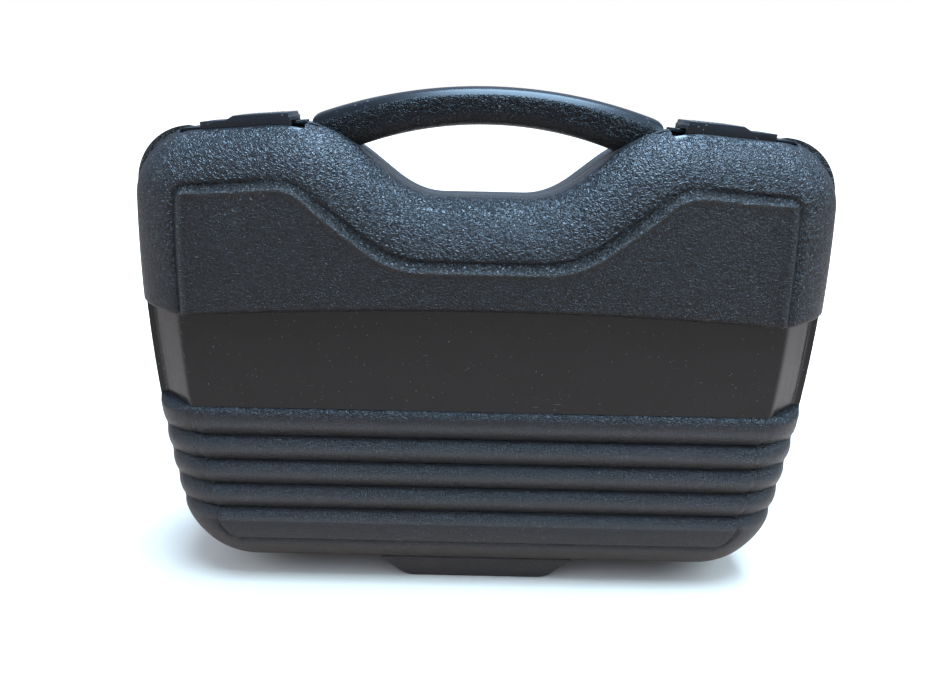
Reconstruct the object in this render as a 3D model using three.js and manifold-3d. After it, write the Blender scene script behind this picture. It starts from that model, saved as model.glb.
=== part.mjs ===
// Hard carrying case for a hand-held instrument: two moulded shells, a fixed arched handle above
// the rear shell, two latches that slide along the top edge, and a hinge in the block under the
// bottom edge. Millimetres, +Z up, and the front faces -Y. The pieces are drawn with the shells
// parting on the plane y = 0, and the group then moves them so that the origin is the middle of
// the whole case, on the surface it stands on.

import * as THREE from 'three';
import { mergeVertices } from 'three/addons/utils/BufferGeometryUtils.js';
import Module from 'manifold-3d';

const wasm = await Module();
wasm.setup();

// ---------------------------------------------------------------- driving dimensions

// Outline of both shells, on the parting plane
const caseWidth = 395; // widest, across the bowed sides
const widestAt = 160; // height of that widest place
const sideBowRadius = 800;
const shoulderEdge = 284; // top edge where it leaves the corner arcs
const shoulderSlope = 0.08; // rise per millimetre towards the handle
const topCornerRadius = 34;
const bottomCornerRadius = 41;

// Hand opening cut down into the outline, under the handle
const openingFloor = 249;
const openingFloorWidth = 77;
const openingSideSlope = 0.795; // rise per millimetre of the slanted sides
const shoulderBlend = 20;
const floorBlend = 12;

// Shells
const wall = 3;
const partingGap = 0.3;
const rimDepth = 4.5; // straight rim on each side of the parting plane
const frontDepth = 31; // parting plane to the raised panel
const rearDepth = 76; // parting plane to the back

// Front relief, as depths in front of the parting plane
const slopeInset = 34; // how far the slopes run in from the outline
const slopeFullness = 1.8; // 1 is a flat chamfer, 2 a quarter round
const panelStep = 3.5;
const bandDepth = 24.5;
const bandInset = 31.5;
const bandBottom = 126.4;
const bandTop = 183; // at the front corners
const bandArch = 6; // extra height of the band in the middle
const bandSideRise = 4.2; // extra height of the band round the side
const bandEdge = 1.5; // half height of the step at each edge of the band
const grooveDepth = 23;
const ribHeight = 4.5;
const ribCount = 4;
const ribPitch = 16.8;
const lowestGroove = 57.2;
const lowerPanelDepth = 26.5;

// Handle
const handleCrown = 306.5;
const handleTopRadius = 290;
const handleUnderCrown = 286.3;
const handleUnderRadius = 210;
const handleHalfSpan = 96;
const handleDepth = 31;
const handleFront = 1;
const handleBevel = 5;

// Hinge
const knuckleRadius = 5.6;
const knuckleHeadroom = 0.8; // between the knuckles and the shells' bottom edge
const pinDiameter = 3.2;
const pinClearance = 0.3; // radial
const knuckleSplit = 30; // half length of the front shell's knuckle
const knuckleEnd = 45;
const knuckleGap = 0.6;
const hingeBlockFoot = 93; // width of the block on the ground
const hingeBlockTop = 128;
const hingeBlockDepth = 14;
const hingeSkinGap = 2;
const plugLength = 3;
const plugClearance = 0.1; // radial

// Latches, in a frame that lies along the sloping top edge
const latchAt = 126; // distance from the middle of the case to the latch frame
const recessDepth = 5.2;
const recessInner = -29;
const recessEndRoom = 1; // left beyond the slider at the end of its travel
const recessFront = 12;
const recessRear = 14;
const recessFloor = 3; // wall left under the recess
const railHeight = 4;
const railHead = 2;
const railNeckWidth = 4;
const railHeadWidth = 8;
const railCentre = 6; // rear rail, behind the parting plane
const keeperNeck = 2.5;
const keeperHead = 6.5;
const keeperStart = 1.5; // front keeper, in front of the parting plane
const keeperLength = 10;
const sliderInner = -22;
const sliderOuter = 26;
const sliderPlate = 2.2;
const sliderClearance = 0.4;
const sliderSkirt = 2.6;
const sliderLip = 1;
const tabLength = 9;
const tabSetback = 1;
const lugLength = 30;
const lugHeight = 8.6;
const lugSlope = 8; // run of the lug's outer face
const springThickness = 0.5;
const springWidth = 6;
const springClearance = 0.5; // on every side of the spring, in its pocket in the lug
const springPocketWall = 1.5; // of the lug, at each end of the pocket
const springPocketRoof = 1;
const latchTravel = 11;

// Inside
const linerWall = 2;
const linerGap = 1.2;
const linerLip = 8; // the liners' lips lie this far inside the shells' walls, clear of the latch beds
const padThickness = 14;
const padGap = 0.5;
const trayDepth = 15; // of the front liner, from the parting plane
const lidPadThickness = 7;
const dividerThickness = 4;
const dividerHeight = 40;
const dividerAt = -40; // height of the long divider below the middle of the cavity
const footLength = 50;
const footDepth = 30;
const footAt = 120;
const footFront = 30;

// ---------------------------------------------------------------- values that follow

const hingeHeight = knuckleRadius;
const bottomEdge = 2 * knuckleRadius + knuckleHeadroom; // the shells' bottom edge above the ground
const recessOuter = sliderOuter + latchTravel + recessEndRoom;
const slopeAngle = Math.atan(shoulderSlope);
const openingSideAngle = Math.atan(openingSideSlope);
const topCornerCentre = shoulderEdge - topCornerRadius;
const bottomCornerCentre = bottomEdge + bottomCornerRadius;
const slopeDepth = frontDepth - panelStep;
const ribTop = bandBottom;
const ribBottom = lowestGroove - ribPitch / 2;
const rim = partingGap / 2;
const knuckleSides = 24;
const pinSides = 16;

// ---------------------------------------------------------------- the outline

// Polynomial smooth minimum: rounds the corner between two lines over the length k.
function smoothMin(a, b, k) {
  const overlap = Math.max(k - Math.abs(a - b), 0) / k;
  return Math.min(a, b) - overlap * overlap * k / 4;
}

const smoothMax = (a, b, k) => -smoothMin(-a, -b, k);

const smoothStep = (from, to, value) => {
  const t = Math.min(Math.max((value - from) / (to - from), 0), 1);
  return t * t * (3 - 2 * t);
};

const bowedHalfWidth = (z) => caseWidth / 2 - (z - widestAt) ** 2 / (2 * sideBowRadius);

const shoulderStart = bowedHalfWidth(topCornerCentre) - topCornerRadius;

const shoulderLine = (x) => shoulderEdge + shoulderSlope * (shoulderStart - Math.abs(x));

const openingSideLine = (x) => openingFloor + openingSideSlope * (Math.abs(x) - openingFloorWidth / 2);

// Top edge of the outline moved inwards by an inset: shoulder, slanted side and floor.
function topEdge(x, inset) {
  const shoulder = shoulderLine(x) - inset / Math.cos(slopeAngle);
  const side = openingSideLine(x) - inset / Math.cos(openingSideAngle);
  return smoothMin(shoulder, smoothMax(side, openingFloor - inset, floorBlend), shoulderBlend);
}

// Half width at a height, with the arcs of the corners.
function sideEdge(z, inset) {
  const arc = (centre, radius) => {
    const r = Math.max(radius - inset, 1);
    const along = Math.min(Math.abs(z - centre), r);
    return bowedHalfWidth(centre) - inset - r + Math.sqrt(r * r - along * along);
  };
  if (z > topCornerCentre) return arc(topCornerCentre, topCornerRadius);
  if (z < bottomCornerCentre) return arc(bottomCornerCentre, bottomCornerRadius);
  return bowedHalfWidth(z) - inset;
}

// Distance of a point from the outline, measured inwards.
function insetOf(x, z) {
  const rounded = (a, b, r) => (a < r || b < r
    ? r - Math.hypot(Math.max(r - a, 0), Math.max(r - b, 0))
    : Math.min(a, b));
  const shoulder = (shoulderLine(x) - z) * Math.cos(slopeAngle);
  const side = (openingSideLine(x) - z) * Math.cos(openingSideAngle);
  const top = smoothMin(shoulder, smoothMax(side, openingFloor - z, floorBlend), shoulderBlend);
  const across = bowedHalfWidth(z) - Math.abs(x);
  return rounded(rounded(across, top, topCornerRadius), z - bottomEdge, bottomCornerRadius);
}

// ---------------------------------------------------------------- the lattice of a shell

// Rows run from the bottom edge to the top edge. Up to the spread height they are level, and
// above it they bend until they follow the top edge.
const spread = bandTop + bandArch + 9;
const bentAt = shoulderEdge - slopeInset;

function rowAt(z, inset) {
  const share = (z - bottomEdge) / (shoulderEdge - bottomEdge);
  const height = bottomEdge + inset + share * (shoulderEdge - bottomEdge - 2 * inset);
  const bend = Math.min(Math.max((z - spread) / (bentAt - spread), 0), 1);
  return { height, bend };
}

// One point of the lattice. A column is a fraction of the half width, or a distance from the side.
function latticePoint(column, row, inset) {
  const { height, bend } = rowAt(row, inset);
  const place = (half) => (column.from === undefined
    ? column.share * (half - slopeInset)
    : column.side * (half - column.from));
  const x = place(sideEdge(height, inset));
  const above = topEdge(place(sideEdge(shoulderEdge - inset, inset)), inset) - (shoulderEdge - inset);
  return [x, height + bend * above];
}

function columnsOf(fromSide, shares) {
  const left = fromSide.map((from) => ({ from, side: -1 }));
  const middle = [...shares.map((s) => -s), 0, ...[...shares].reverse()].map((share) => ({ share }));
  const right = [...fromSide].reverse().map((from) => ({ from, side: 1 }));
  return [...left, ...middle, ...right];
}

// Solid between a flat cap at the first ring and a crown above the last ring. Each ring is the
// outline at an inset and a y; the crown gives y for each point inside the last ring.
function loftedSolid(columns, rows, rings, crown) {
  const nx = columns.length;
  const nz = rows.length;
  const points = [];
  const faces = [];
  const sheet = (inset, depth) => {
    const start = points.length / 3;
    for (const row of rows) {
      for (const column of columns) {
        const [x, z] = latticePoint(column, row, inset);
        points.push(x, depth(x, z), z);
      }
    }
    return start;
  };
  const quad = (a, b, c, d) => faces.push(a, b, c, a, c, d);
  const edge = [];
  for (let i = 0; i < nx - 1; i += 1) edge.push(i);
  for (let j = 0; j < nz - 1; j += 1) edge.push(j * nx + nx - 1);
  for (let i = nx - 1; i > 0; i -= 1) edge.push((nz - 1) * nx + i);
  for (let j = nz - 1; j > 0; j -= 1) edge.push(j * nx);

  const first = sheet(rings[0].inset, () => rings[0].y);
  let previous = edge.map((e) => first + e);
  for (const ring of rings.slice(1)) {
    const start = points.length / 3;
    edge.forEach((e) => {
      const [x, z] = latticePoint(columns[e % nx], rows[Math.floor(e / nx)], ring.inset);
      points.push(x, ring.y, z);
    });
    const next = edge.map((_, k) => start + k);
    edge.forEach((_, k) => {
      const m = (k + 1) % edge.length;
      quad(previous[k], previous[m], next[m], next[k]);
    });
    previous = next;
  }
  const last = sheet(rings[rings.length - 1].inset, crown);
  edge.forEach((e, k) => {
    const m = (k + 1) % edge.length;
    quad(previous[k], previous[m], last + edge[m], last + e);
  });
  for (let j = 0; j < nz - 1; j += 1) {
    for (let i = 0; i < nx - 1; i += 1) {
      const a = j * nx + i;
      quad(last + a, last + a + 1, last + a + nx + 1, last + a + nx);
      quad(first + a, first + a + nx, first + a + nx + 1, first + a + 1);
    }
  }
  const geometry = new THREE.BufferGeometry();
  geometry.setAttribute('position', new THREE.Float32BufferAttribute(points, 3));
  geometry.setIndex(faces);
  return solidOf(geometry);
}

// ---------------------------------------------------------------- solids and nodes

// A closed geometry as a solid, turned the right way out.
function solidOf(source, matrix) {
  let geometry = source.clone();
  geometry.deleteAttribute('normal');
  geometry.deleteAttribute('uv');
  if (matrix) geometry.applyMatrix4(matrix);
  geometry = mergeVertices(geometry, 1e-4);
  const vertProperties = Float32Array.from(geometry.attributes.position.array);
  const kept = [];
  const index = geometry.index.array;
  for (let i = 0; i < index.length; i += 3) {
    const [a, b, c] = [index[i], index[i + 1], index[i + 2]];
    if (a !== b && b !== c && c !== a) kept.push(a, b, c);
  }
  const p = (i) => new THREE.Vector3().fromArray(vertProperties, 3 * i);
  let volume = 0;
  for (let i = 0; i < kept.length; i += 3) {
    volume += p(kept[i]).dot(p(kept[i + 1]).cross(p(kept[i + 2])));
  }
  if (volume < 0) kept.reverse();
  return new wasm.Manifold(new wasm.Mesh({ numProp: 3, vertProperties, triVerts: Uint32Array.from(kept) }));
}

// A block between two corners.
function block(low, high, matrix) {
  const size = high.map((v, i) => v - low[i]);
  const geometry = new THREE.BoxGeometry(...size);
  geometry.translate(...low.map((v, i) => v + size[i] / 2));
  return solidOf(geometry, matrix);
}

// A closed outline of [y, z] points, extruded along x.
function extrudedAlongX(outline, from, to, matrix) {
  const shape = new THREE.Shape(outline.map(([y, z]) => new THREE.Vector2(y, z)));
  const geometry = new THREE.ExtrudeGeometry(shape, { depth: to - from, bevelEnabled: false });
  geometry.translate(0, 0, from);
  const turn = new THREE.Matrix4().makeBasis(
    new THREE.Vector3(0, 1, 0), new THREE.Vector3(0, 0, 1), new THREE.Vector3(1, 0, 0));
  geometry.applyMatrix4(turn);
  return solidOf(geometry, matrix);
}

// A closed outline of [x, z] points, extruded along y.
function extrudedAlongY(outline, from, to, matrix) {
  const shape = new THREE.Shape(outline.map(([x, z]) => new THREE.Vector2(x, z)));
  const geometry = new THREE.ExtrudeGeometry(shape, { depth: to - from, bevelEnabled: false });
  geometry.rotateX(Math.PI / 2);
  geometry.translate(0, to, 0);
  return solidOf(geometry, matrix);
}

function barrel(radius, from, to, sides) {
  const geometry = new THREE.CylinderGeometry(radius, radius, to - from, sides);
  geometry.rotateZ(Math.PI / 2);
  geometry.translate((from + to) / 2, 0, hingeHeight);
  return solidOf(geometry);
}

const joined = (...solids) => solids.reduce((whole, next) => whole.add(next));

const group = new THREE.Group();

function addNode(name, solid, material) {
  const { numProp, vertProperties, triVerts } = solid.getMesh();
  const positions = new Float32Array((vertProperties.length / numProp) * 3);
  for (let i = 0; i < positions.length / 3; i += 1) {
    for (let k = 0; k < 3; k += 1) positions[3 * i + k] = vertProperties[numProp * i + k];
  }
  const geometry = new THREE.BufferGeometry();
  geometry.setAttribute('position', new THREE.BufferAttribute(positions, 3));
  geometry.setIndex(new THREE.BufferAttribute(triVerts, 1));
  geometry.computeVertexNormals();
  const mesh = new THREE.Mesh(geometry, new THREE.MeshStandardMaterial(material));
  mesh.name = name;
  group.add(mesh);
}

const grainedPlastic = { color: 0x17181a, roughness: 0.55, metalness: 0 };
const smoothPlastic = { color: 0x101113, roughness: 0.3, metalness: 0 };
const linerPlastic = { color: 0x1d1e20, roughness: 0.5, metalness: 0 };
const darkFoam = { color: 0x2a2b2d, roughness: 0.95, metalness: 0 };
const steel = { color: 0xb9bcc0, roughness: 0.3, metalness: 1 };

// ---------------------------------------------------------------- relief of the front shell

const roundOver = (share, fullness) => (share >= 1
  ? 1
  : (1 - (1 - Math.max(share, 0)) ** fullness) ** (1 / fullness));

// Upper edge of the band: arched over the front, and rising again round the side.
function bandTopAt(x) {
  const corner = caseWidth / 2 - bandInset;
  const across = Math.min(Math.abs(x) / corner, 1);
  const round = Math.max(Math.abs(x) - corner, 0) / bandInset;
  return bandTop + bandArch * (1 - across * across) + bandSideRise * round;
}

function frontReliefAt(x, z) {
  const inset = insetOf(x, z);
  const slope = roundOver(inset / slopeInset, slopeFullness);
  const above = smoothStep(bandTopAt(x) - bandEdge, bandTopAt(x) + bandEdge, z);
  const below = 1 - smoothStep(ribTop - bandEdge, ribTop + bandEdge, z);

  const panel = panelStep * smoothStep(slopeInset - 1, slopeInset + 3, inset);
  const upper = rimDepth + (slopeDepth - rimDepth) * slope + panel;

  const bandShare = Math.min(Math.max((inset - rimDepth) / (bandInset - rimDepth), 0), 1);
  const band = rimDepth + (bandDepth - rimDepth) * bandShare;

  const wave = Math.abs(Math.sin(Math.PI * (z - lowestGroove) / ribPitch));
  const inRibs = smoothStep(ribBottom - 1, ribBottom, z);
  const ribFace = grooveDepth + ribHeight * wave;
  const face = inRibs * ribFace + (1 - inRibs) * lowerPanelDepth;
  const lower = rimDepth + (face - rimDepth) * slope;

  return above * upper + below * lower + (1 - above - below) * band;
}

// ---------------------------------------------------------------- latch frame

// Turns a frame along the sloping shoulder, on the right (side 1) or mirrored on the left.
function latchFrame(side) {
  const floor = shoulderLine(latchAt) - recessDepth;
  const turn = new THREE.Matrix4().makeRotationY(slopeAngle);
  const move = new THREE.Matrix4().makeTranslation(latchAt, 0, floor);
  const mirror = new THREE.Matrix4().makeScale(side, 1, 1);
  return mirror.multiply(move).multiply(turn);
}

const recessHeadroom = 30;

function latchRecess(side) {
  return block([recessInner, -recessFront, 0], [recessOuter, recessRear, recessHeadroom], latchFrame(side));
}

// Floor under the recess, on one shell: front is -1, rear is 1.
function recessBed(side, shell) {
  const reach = shell < 0 ? [-recessFront, -rim] : [rim, recessRear + wall];
  const low = [recessInner - wall, reach[0], -recessFloor];
  const high = [recessOuter, reach[1], 0];
  return block(low, high, latchFrame(side));
}

function rearRail(side) {
  const frame = latchFrame(side);
  const end = recessOuter - sliderClearance;
  const start = sliderInner - latchTravel / 2;
  const neck = railNeckWidth / 2;
  const head = railHeadWidth / 2;
  const sink = recessFloor / 2;
  return extrudedAlongX([
    [railCentre - neck, -sink], [railCentre + neck, -sink], [railCentre + neck, railHead],
    [railCentre + head, railHead], [railCentre + head, railHeight], [railCentre - head, railHeight],
    [railCentre - head, railHead], [railCentre - neck, railHead],
  ], start, end, frame);
}

function frontKeeper(side) {
  const frame = latchFrame(side);
  const end = recessOuter - sliderClearance;
  const sink = recessFloor / 2;
  return extrudedAlongX([
    [-keeperStart - keeperNeck, -sink], [-keeperStart, -sink], [-keeperStart, railHeight],
    [-keeperStart - keeperHead, railHeight], [-keeperStart - keeperHead, railHead],
    [-keeperStart - keeperNeck, railHead],
  ], end - keeperLength, end, frame);
}

// ---------------------------------------------------------------- shells

const reliefRows = [];
for (const rise of [0, 1.5, 6, 14, 26]) reliefRows.push(bottomEdge + rise);
for (let i = -0.5; i <= ribCount - 1; i += 0.5) reliefRows.push(lowestGroove + i * ribPitch);
for (const rise of [-9, -2, 0, 2, 30, 52, 56, 60, 64]) reliefRows.push(bandBottom + rise);
for (const drop of [62, 48, slopeInset + 2, 31, 25, 16, 9, 4, 1, 0]) reliefRows.push(shoulderEdge - drop);

const plainRows = [0, 1.5, 6, 14, 26, 45, 90, 140, 186].map((rise) => bottomEdge + rise);
for (const drop of [60, 47, slopeInset, 24, 14, 6, 1, 0]) plainRows.push(shoulderEdge - drop);

const reliefColumns = columnsOf([0, 4, 10, 17, 25, bandInset], [1, 0.86, 0.74, 0.64, 0.54, 0.44, 0.35, 0.26, 0.12]);
const plainColumns = columnsOf([0, 6, 16], [1, 0.86, 0.74, 0.64, 0.54, 0.44, 0.35, 0.26]);

const frontBody = loftedSolid(reliefColumns, reliefRows, [{ inset: 0, y: -rim }],
  (x, z) => -frontReliefAt(x, z));

// The hollow of the front shell has plain slopes that clear the band, panel and ribs.
function frontHollow() {
  const depth = grooveDepth - wall;
  return loftedSolid(plainColumns, plainRows, [{ inset: wall, y: wall }], (x, z) => {
    const share = Math.min(Math.max((insetOf(x, z) - wall) / slopeInset, 0), 1);
    return -depth * share;
  });
}

const rearRings = [
  { inset: 0, y: rim },
  { inset: 0, y: rimDepth },
  { inset: 6, y: rearDepth - 18 },
  { inset: 10, y: rearDepth - 7 },
];
const rearBackInset = 18;

function rearBody(extraInset, shorter, start) {
  const rings = rearRings.map(({ inset, y }, i) => ({
    inset: inset + extraInset,
    y: i === 0 ? start : y - shorter,
  }));
  rings.push({ inset: rearBackInset + extraInset, y: rearDepth - shorter });
  return loftedSolid(plainColumns, plainRows, rings, () => rearDepth - shorter);
}

const slantedBlock = () => extrudedAlongY([
  [-hingeBlockFoot / 2, 0], [hingeBlockFoot / 2, 0],
  [hingeBlockTop / 2, bottomEdge + wall], [-hingeBlockTop / 2, bottomEdge + wall],
], -hingeBlockDepth, -rim);

const boreRadius = pinDiameter / 2 + pinClearance;
const bore = () => barrel(boreRadius, -caseWidth / 4, caseWidth / 4, pinSides);

function frontHinge() {
  const skinBack = knuckleRadius + hingeSkinGap;
  const frontEnd = knuckleSplit - knuckleGap;
  const room = (side) => {
    const reach = [side * (knuckleSplit - knuckleGap / 2), side * hingeBlockTop];
    return block([Math.min(...reach), -skinBack, -1], [Math.max(...reach), wall, bottomEdge - knuckleHeadroom / 2]);
  };
  const centre = joined(slantedBlock(), barrel(knuckleRadius, -frontEnd, frontEnd, knuckleSides));
  return centre.subtract(room(1)).subtract(room(-1)).subtract(bore());
}

function rearKnuckle(side) {
  const near = side * (knuckleSplit + knuckleGap / 2);
  const far = side * knuckleEnd;
  const [from, to] = [Math.min(near, far), Math.max(near, far)];
  const web = block([from, rim, hingeHeight], [to, knuckleRadius, bottomEdge + wall / 2]);
  return joined(barrel(knuckleRadius, from, to, knuckleSides), web).subtract(bore());
}

function rearFoot(side) {
  const middle = side * footAt;
  const low = [middle - footLength / 2, footFront, 0];
  const high = [middle + footLength / 2, footFront + footDepth, bottomEdge + 2 * wall];
  return block(low, high);
}

const rearOutside = rearBody(0, 0, rim);
let frontShell = frontBody.subtract(frontHollow());
let rearShell = rearOutside.subtract(rearBody(wall, wall, -wall));
for (const side of [-1, 1]) {
  const frontBed = recessBed(side, -1).intersect(frontBody);
  frontShell = joined(frontShell, frontBed).subtract(latchRecess(side));
  frontShell = joined(frontShell, frontKeeper(side));
  const rearBed = recessBed(side, 1).intersect(rearOutside);
  rearShell = joined(rearShell, rearBed).subtract(latchRecess(side));
  rearShell = joined(rearShell, rearRail(side), rearKnuckle(side), rearFoot(side));
}
rearShell = rearShell.subtract(rearBody(3 * wall, wall, -wall));
frontShell = joined(frontShell, frontHinge());
addNode('front_shell', frontShell, grainedPlastic);
addNode('rear_shell', rearShell, grainedPlastic);

// ---------------------------------------------------------------- handle

const arcPoint = (crown, radius, x) => crown - radius + Math.sqrt(radius * radius - x * x);

function handleSolid() {
  const steps = 12;
  const outline = [];
  for (let i = 0; i <= steps; i += 1) {
    const x = handleHalfSpan * (1 - 2 * i / steps);
    outline.push(new THREE.Vector2(x, arcPoint(handleCrown, handleTopRadius, x)));
  }
  for (let i = 0; i <= steps; i += 1) {
    const x = handleHalfSpan * (2 * i / steps - 1);
    outline.push(new THREE.Vector2(x, arcPoint(handleUnderCrown, handleUnderRadius, x)));
  }
  const geometry = new THREE.ExtrudeGeometry(new THREE.Shape(outline), {
    depth: handleDepth - 2 * handleBevel,
    bevelThickness: handleBevel,
    bevelSize: handleBevel,
    bevelOffset: -handleBevel,
    bevelSegments: 2,
  });
  geometry.rotateX(Math.PI / 2);
  geometry.translate(0, handleFront + handleDepth - handleBevel, 0);
  return solidOf(geometry).subtract(rearBody(-partingGap, -partingGap, -wall));
}

addNode('carry_handle', handleSolid(), grainedPlastic);

// ---------------------------------------------------------------- hinge pin and its plugs

const pinEnd = knuckleEnd - plugLength - pinClearance;
addNode('hinge_pin', barrel(pinDiameter / 2, -pinEnd, pinEnd, pinSides), steel);
for (const [name, side] of [['pin_plug_left', -1], ['pin_plug_right', 1]]) {
  const reach = [side * (knuckleEnd - plugLength), side * knuckleEnd];
  addNode(name, barrel(boreRadius - plugClearance, Math.min(...reach), Math.max(...reach), pinSides), smoothPlastic);
}

// ---------------------------------------------------------------- latches

function sliderSolid(side) {
  const frame = latchFrame(side);
  const under = railHeight + sliderClearance;
  const top = under + sliderPlate;
  const lipTop = railHead - sliderClearance;
  const lipBottom = lipTop - sliderLip;
  const rearInside = railCentre + railHeadWidth / 2 + sliderClearance;
  const rearOutside = rearInside + sliderSkirt;
  const frontInside = -keeperStart - keeperHead - sliderClearance;
  const frontOutside = frontInside - sliderSkirt;
  const rearLip = railCentre + railNeckWidth / 2 + sliderClearance;
  const frontLip = -keeperStart - keeperNeck - sliderClearance;
  const plate = extrudedAlongX([
    [frontOutside, lipBottom], [frontInside, lipBottom], [frontInside, under], [rearInside, under],
    [rearInside, lipTop], [rearLip, lipTop], [rearLip, lipBottom], [rearOutside, lipBottom],
    [rearOutside, top], [frontOutside, top],
  ], sliderInner, sliderOuter, frame);
  const tabEnd = sliderOuter - tabSetback;
  const tab = extrudedAlongX([
    [frontOutside, lipBottom], [frontLip, lipBottom], [frontLip, lipTop], [frontInside, lipTop],
    [frontInside, under + sliderClearance], [frontOutside, under + sliderClearance],
  ], tabEnd - tabLength, tabEnd, frame);
  const lug = extrudedAlongY([
    [sliderInner, under + sliderClearance], [sliderInner + lugLength + lugSlope, under + sliderClearance],
    [sliderInner + lugLength, lugHeight], [sliderInner + 1, lugHeight],
  ], frontOutside, rearOutside, frame);
  const room = springRoom();
  return joined(plate, tab, lug).subtract(block(room.low, room.high, frame));
}

// The pocket passes through the plate, so that the spring bears on the rail below.
function springRoom() {
  const half = springWidth / 2 + springClearance;
  const bottom = railHeight + sliderClearance - sliderPlate / 2;
  const low = [sliderInner + springPocketWall, railCentre - half, bottom];
  const high = [sliderInner + lugLength - springPocketWall, railCentre + half, lugHeight - springPocketRoof];
  return { low, high };
}

// Bowed leaf that presses the slider against its rail and clicks at both ends of its travel.
function springSolid(side) {
  const { low, high } = springRoom();
  const bottom = railHeight + sliderClearance;
  const rise = high[2] - springClearance - springThickness - bottom;
  const half = (high[0] - low[0]) / 2 - springClearance;
  const middle = (low[0] + high[0]) / 2;
  const steps = 8;
  const arch = [...Array(steps + 1).keys()].map((i) => {
    const t = 2 * i / steps - 1;
    return [middle + half * t, bottom + rise * (1 - t * t)];
  });
  const upper = [...arch].reverse().map(([x, z]) => [x, z + springThickness]);
  return extrudedAlongY([...arch, ...upper], low[1] + springClearance, high[1] - springClearance, latchFrame(side));
}

for (const [word, side] of [['left', -1], ['right', 1]]) {
  addNode(`latch_slider_${word}`, sliderSolid(side), smoothPlastic);
  addNode(`latch_spring_${word}`, springSolid(side), steel);
}

// ---------------------------------------------------------------- liners, pads and dividers

const linerRows = [0, 1.5, 10, 28, 60, 110, 186].map((rise) => bottomEdge + rise);
for (const drop of [slopeInset, 14, 3, 0]) linerRows.push(shoulderEdge - drop);
const linerColumns = columnsOf([0, 12], [1, 0.8, 0.64, 0.54, 0.44, 0.35, 0.2]);

// The liner's lip starts behind the latch beds and the rim, so that it clears both shells.
const linerInset = wall + linerGap;
const linerStart = 1;
const rearHollow = rearDepth - wall - linerGap;

function rearLinerBody(extra, start, back) {
  const rings = [
    { inset: linerInset + linerLip + extra, y: start },
    { inset: rearRings[3].inset + linerInset + extra, y: rearHollow - 10 },
    { inset: rearBackInset + linerInset + extra, y: back },
  ];
  return loftedSolid(linerColumns, linerRows, rings, () => back);
}

const rearLiner = rearLinerBody(0, linerStart, rearHollow)
  .subtract(rearLinerBody(linerWall, -wall, rearHollow - linerWall));
addNode('rear_liner', rearLiner, linerPlastic);

const cavityBack = rearHollow - linerWall;
const cavityBottom = bottomEdge + linerInset + rearBackInset + linerWall + 2 * padGap;
const cavityTop = openingFloor - linerInset - rearBackInset - linerWall - 2 * padGap;
const cavityHalfWidth = bowedHalfWidth(bottomCornerCentre) - linerInset - rearBackInset - linerWall - 3;
const padFront = cavityBack - padGap - padThickness;

// Pad with rounded corners, laid against the back of a hollow.
function pad(halfWidth, bottom, top, front, back, radius) {
  const shape = new THREE.Shape();
  shape.moveTo(-halfWidth + radius, bottom);
  shape.lineTo(halfWidth - radius, bottom);
  shape.absarc(halfWidth - radius, bottom + radius, radius, -Math.PI / 2, 0);
  shape.lineTo(halfWidth, top - radius);
  shape.absarc(halfWidth - radius, top - radius, radius, 0, Math.PI / 2);
  shape.lineTo(-halfWidth + radius, top);
  shape.absarc(-halfWidth + radius, top - radius, radius, Math.PI / 2, Math.PI);
  shape.lineTo(-halfWidth, bottom + radius);
  shape.absarc(-halfWidth + radius, bottom + radius, radius, Math.PI, 1.5 * Math.PI);
  const geometry = new THREE.ExtrudeGeometry(shape, { depth: back - front, bevelEnabled: false, curveSegments: 5 });
  geometry.rotateX(Math.PI / 2);
  geometry.translate(0, back, 0);
  return solidOf(geometry);
}

addNode('base_pad', pad(cavityHalfWidth, cavityBottom, cavityTop, padFront, cavityBack - padGap, 24), darkFoam);

const dividerFront = padFront - padGap - dividerHeight;
const dividerMiddle = (cavityBottom + cavityTop) / 2 + dividerAt;
const dividerHalf = cavityHalfWidth - padGap;
addNode('divider_long', block(
  [-dividerHalf, dividerFront, dividerMiddle],
  [dividerHalf, padFront - padGap, dividerMiddle + dividerThickness]), linerPlastic);
addNode('divider_short', block(
  [-dividerThickness / 2, dividerFront, cavityBottom + padGap],
  [dividerThickness / 2, padFront - padGap, dividerMiddle - padGap]), linerPlastic);

// Front liner: a shallow tray behind the relief, with a foam pad in it.
const trayFloorInset = slopeInset + linerInset + linerGap;

function frontLinerBody(extra, start, back) {
  const rings = [
    { inset: linerInset + linerLip + extra, y: start },
    { inset: trayFloorInset + extra, y: -back },
  ];
  return loftedSolid(linerColumns, linerRows, rings, () => -back);
}

const frontLiner = frontLinerBody(0, -linerStart, trayDepth)
  .subtract(frontLinerBody(linerWall, wall, trayDepth - linerWall));
addNode('front_liner', frontLiner, linerPlastic);

const trayFloor = trayDepth - linerWall - padGap;
const trayInset = trayFloorInset + linerWall + 2 * padGap;
const trayBottom = bottomEdge + trayInset;
const trayTop = openingFloor - trayInset;
const trayHalfWidth = bowedHalfWidth(bottomCornerCentre) - trayInset;
addNode('lid_pad', pad(trayHalfWidth, trayBottom, trayTop, -trayFloor, -trayFloor + lidPadThickness, 20), darkFoam);

group.position.y = (frontDepth - rearDepth) / 2;

export default group;
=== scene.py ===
# %% [markdown]
# # A moulded carrying case, finished in Blender
# The case arrives as a plain frame: every piece has its size and its place, and the hinge and the
# two latches already move. This lesson gives those pieces their surfaces. A blow-moulded case is
# one thick skin with everything pressed into it: slopes, a raised panel, a smooth band and ribs.
# So the main work is one fine sheet for each shell, shaped by a rule, and a few good plastics.

# %% Load the frame
import math

import bmesh
import bpy
import numpy as np
from mathutils import Matrix, Vector


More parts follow.
